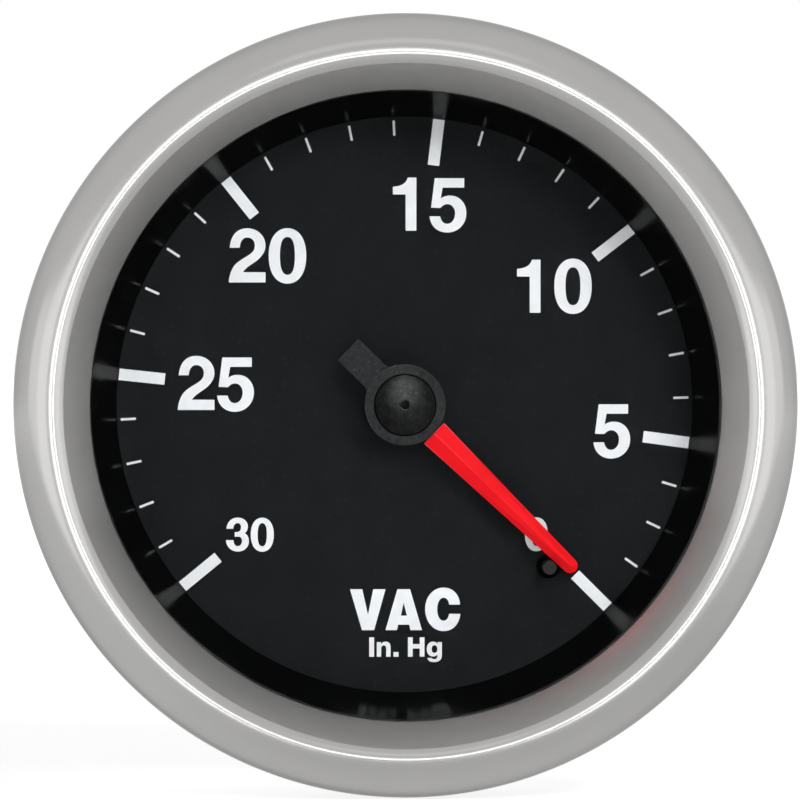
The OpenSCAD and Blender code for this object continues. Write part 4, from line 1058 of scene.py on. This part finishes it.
# near-black finish for the washer and for the ring of painted shade round the cap's foot
it = Finish("fibre_and_shade_black", "black_fibre_and_painted_shade", shine=0.02, Roughness=0.9)
it.tones(1.0, (0.0006, 0.0006, 0.0006), (0.0016, 0.0016, 0.0015))

profile = [(CAP_HOLE_R, HUB_TOP), (CAP_R, HUB_TOP), (CAP_R, HUB_TOP + 0.19), (CAP_R - 0.05, HUB_TOP + 0.25)]
profile += [(CAP_HOLE_R + 0.22, CAP_TOP - 0.03), (CAP_HOLE_R + 0.12, CAP_TOP)]
profile += [(CAP_HOLE_R + 0.04, CAP_TOP - 0.02), (CAP_HOLE_R, CAP_TOP - 0.1)]
cap = spun("cap_moulded", profile, "cap_black", "pointer", 128, 40)
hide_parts("pointer_cap")
# painted shade: a near-black ring round the cap's foot draws the shade of the gap as a thin black line
spun("cap_shade_ring", flat_ring(*CAP_SHADE_RING), "fibre_and_shade_black", "pointer", 96)
# the arbor's end is blackened in the hub's finish; the dark plug also paints the shade in the cap's hole
profile = [(CORE, HUB_TOP), (0.41, HUB_TOP), (0.41, 3.16), (0.3, 3.24), (CORE, 3.26)]
spun("arbor_end_and_shade", profile, "hub_black", "pointer", 48)
pin = (PIN_REACH * math.cos(PIN_ANGLE), PIN_REACH * math.sin(PIN_ANGLE))
profile = [(CORE, 3.0), (PIN_R, 3.0), (PIN_R, PIN_TOP - 0.033), (PIN_R - 0.03, PIN_TOP), (CORE, PIN_TOP)]
spun("stop_pin_top", profile, "stop_pin_black", "gauge", 64, centre=pin)
# the washer is near-black so that it paints the shade in the dial's hole round the pin
spun("stop_pin_shade_washer", flat_ring(*WASHER), "fibre_and_shade_black", "gauge", 64, centre=pin)
print("made the cap with its recess line, the arbor's end, the pin's top and its washer")

# %% [markdown]
# ## Fine lines on the pointer
#
# The fold along the blade carries one fine lighter line, a painted highlight
# of the light along the fold. The blade's cut edges show paler: partly the red
# thin over the steel, partly a painted highlight along each edge. Each line is
# a strip with three corners that stands about a hundredth of a millimetre proud
# of the blade. The fold's line narrows towards the tip.

# %% The lines along the fold and the cut edges
REST = math.radians(-44.2)
BLADE_FROM, BLADE_TO = 3.85, 20.6
FOLD_Z, FOLD_HALF, FOLD_NARROWS = 2.75, 0.055, 0.75
EDGE_Z, EDGE_ROOT, EDGE_TIP = 2.3, 1.31, 0.7
FOLD_PROUD, EDGE_PROUD, SUNK = 0.008, 0.014, 0.03
EDGE_WIDE, EDGE_CREST = 0.06, 0.015
CUTS = 24

# painted highlight: a bright red strip along the fold's crest stands in for the light that the fold catches
it = Finish("fold_highlight_red", "painted_fold_highlight", shine=0.3)
it.tones(1.6, (0.95, 0.06, 0.055), (1.0, 0.13, 0.11))
it.texture(grain, 0.003, Size=0.12, Low=0.3, High=0.45)

# the paler edges are partly the red thin over the steel, partly a painted highlight along each cut edge
it = Finish("cut_edge_and_highlight_red", "thin_red_and_painted_highlight", shine=0.5)
it.tones(1.2, (0.42, 0.15, 0.19), (0.62, 0.3, 0.34))
it.texture(grain, 0.003, Size=0.12, Low=0.3, High=0.45)


def strip(name, slot, profile_at):
    """A strip along the blade. From root (0) to tip (1), profile_at gives its three corners, across and up."""
    verts, faces = [], []
    for i in range(CUTS + 1):
        reach = BLADE_FROM + (BLADE_TO - BLADE_FROM) * i / CUTS
        for side, height in profile_at(i / CUTS):
            x = reach * math.cos(REST) - side * math.sin(REST)
            y = reach * math.sin(REST) + side * math.cos(REST)
            verts.append(spot(x, y, height))
    for i in range(0, 3 * CUTS, 3):
        faces += band(i, i + 3, 3)
    faces += [(0, 2, 1), (3 * CUTS, 3 * CUTS + 1, 3 * CUTS + 2)]
    piece(name, shape(name, verts, faces), slot, "pointer")


def along_fold(t):
    half = FOLD_HALF * (1 - FOLD_NARROWS * t)
    return [(-half, FOLD_Z - SUNK), (0, FOLD_Z + FOLD_PROUD), (half, FOLD_Z - SUNK)]


def along_edge(t, way):
    edge = EDGE_ROOT + (EDGE_TIP - EDGE_ROOT) * t
    corners = [(edge - EDGE_WIDE, EDGE_Z), (edge - EDGE_CREST, EDGE_Z + EDGE_PROUD)]
    corners.append((edge + EDGE_PROUD, EDGE_Z - SUNK))
    return corners if way > 0 else [(-side, height) for side, height in reversed(corners)]


# the two edge strips paint a highlight along the cut edges, over the paler thin red
strip("pointer_fold_highlight", "fold_highlight_red", along_fold)
strip("pointer_edge_highlight_upper", "cut_edge_and_highlight_red", lambda t: along_edge(t, 1))
strip("pointer_edge_highlight_lower", "cut_edge_and_highlight_red", lambda t: along_edge(t, -1))
print("lines from", BLADE_FROM, "to", BLADE_TO, "mm")

# %% [markdown]
# ## The studs and the stem
#
# The studs screw into the case's back and hold the clamp. Behind the hexagon
# the stem is cut with the same kind of thread, coarser. The studs are made
# anew, head and all. The socket keeps its block and hexagon: a copy of it is
# cut off behind the hexagon, and the threaded stem takes over there.

# %% Cut the studs' threads
STUD_X, STUD_R, STUD_HEAD_R, STUD_HEAD, STUD_CHAMFER = 15.0, 2.08, 3.4, 1.2, 0.2
CASE_BACK_Z, STUD_END_Z = -31.0, -52.0
STUD_PITCH, STUD_DEPTH = 0.8, 0.34

head_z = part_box("mounting_studs")[0][1] / -MM
profile = [(CORE, head_z), (STUD_HEAD_R - STUD_CHAMFER, head_z), (STUD_HEAD_R, head_z - STUD_CHAMFER)]
profile += [(STUD_HEAD_R, head_z - STUD_HEAD), (STUD_R, head_z - STUD_HEAD)]
profile += [(STUD_R, CASE_BACK_Z), (CORE, CASE_BACK_Z)]
ends = (CASE_BACK_Z, STUD_END_Z)
for x, label in ((-STUD_X, "left"), (STUD_X, "right")):
    rod = threaded("stud_thread_" + label, (x, 0), ends, STUD_R, STUD_PITCH, STUD_DEPTH, "screw_steel")
    head = spun("stud_head_" + label, profile, "screw_steel", "gauge", 64, centre=(x, 0))
    for thing in (rod, head):
        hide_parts("mounting_studs")
print("stud heads at", round(head_z, 2), "mm")

# %% Cut the stem's thread
STEM_R, STEM_BORE_R, HEX_BACK_Z, STEM_END_Z = 5.14, 1.5, -34.0, -43.5
STEM_PITCH, STEM_DEPTH, STEM_GAP, HEX_PAST = 0.94, 0.55, 0.1, 0.15

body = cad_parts["socket_block"].data.copy()
bm = bmesh.new()
bm.from_mesh(body)
everything = bm.verts[:] + bm.edges[:] + bm.faces[:]
cut_at = spot(0, 0, HEX_BACK_Z - HEX_PAST)
bmesh.ops.bisect_plane(bm, geom=everything, plane_co=cut_at, plane_no=(0, 1, 0), clear_outer=True)
bm.to_mesh(body)
bm.free()
body.materials.clear()
block = piece("socket_body", body, "socket_brass")
ends = (HEX_BACK_Z - STEM_GAP, STEM_END_Z)
stem = threaded("stem_thread", (0, 0), ends, STEM_R, STEM_PITCH, STEM_DEPTH, "socket_brass", STEM_BORE_R, 64)
for thing in (block, stem):
    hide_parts("socket_block")
print("stem from", HEX_BACK_Z, "to", STEM_END_Z, "mm")
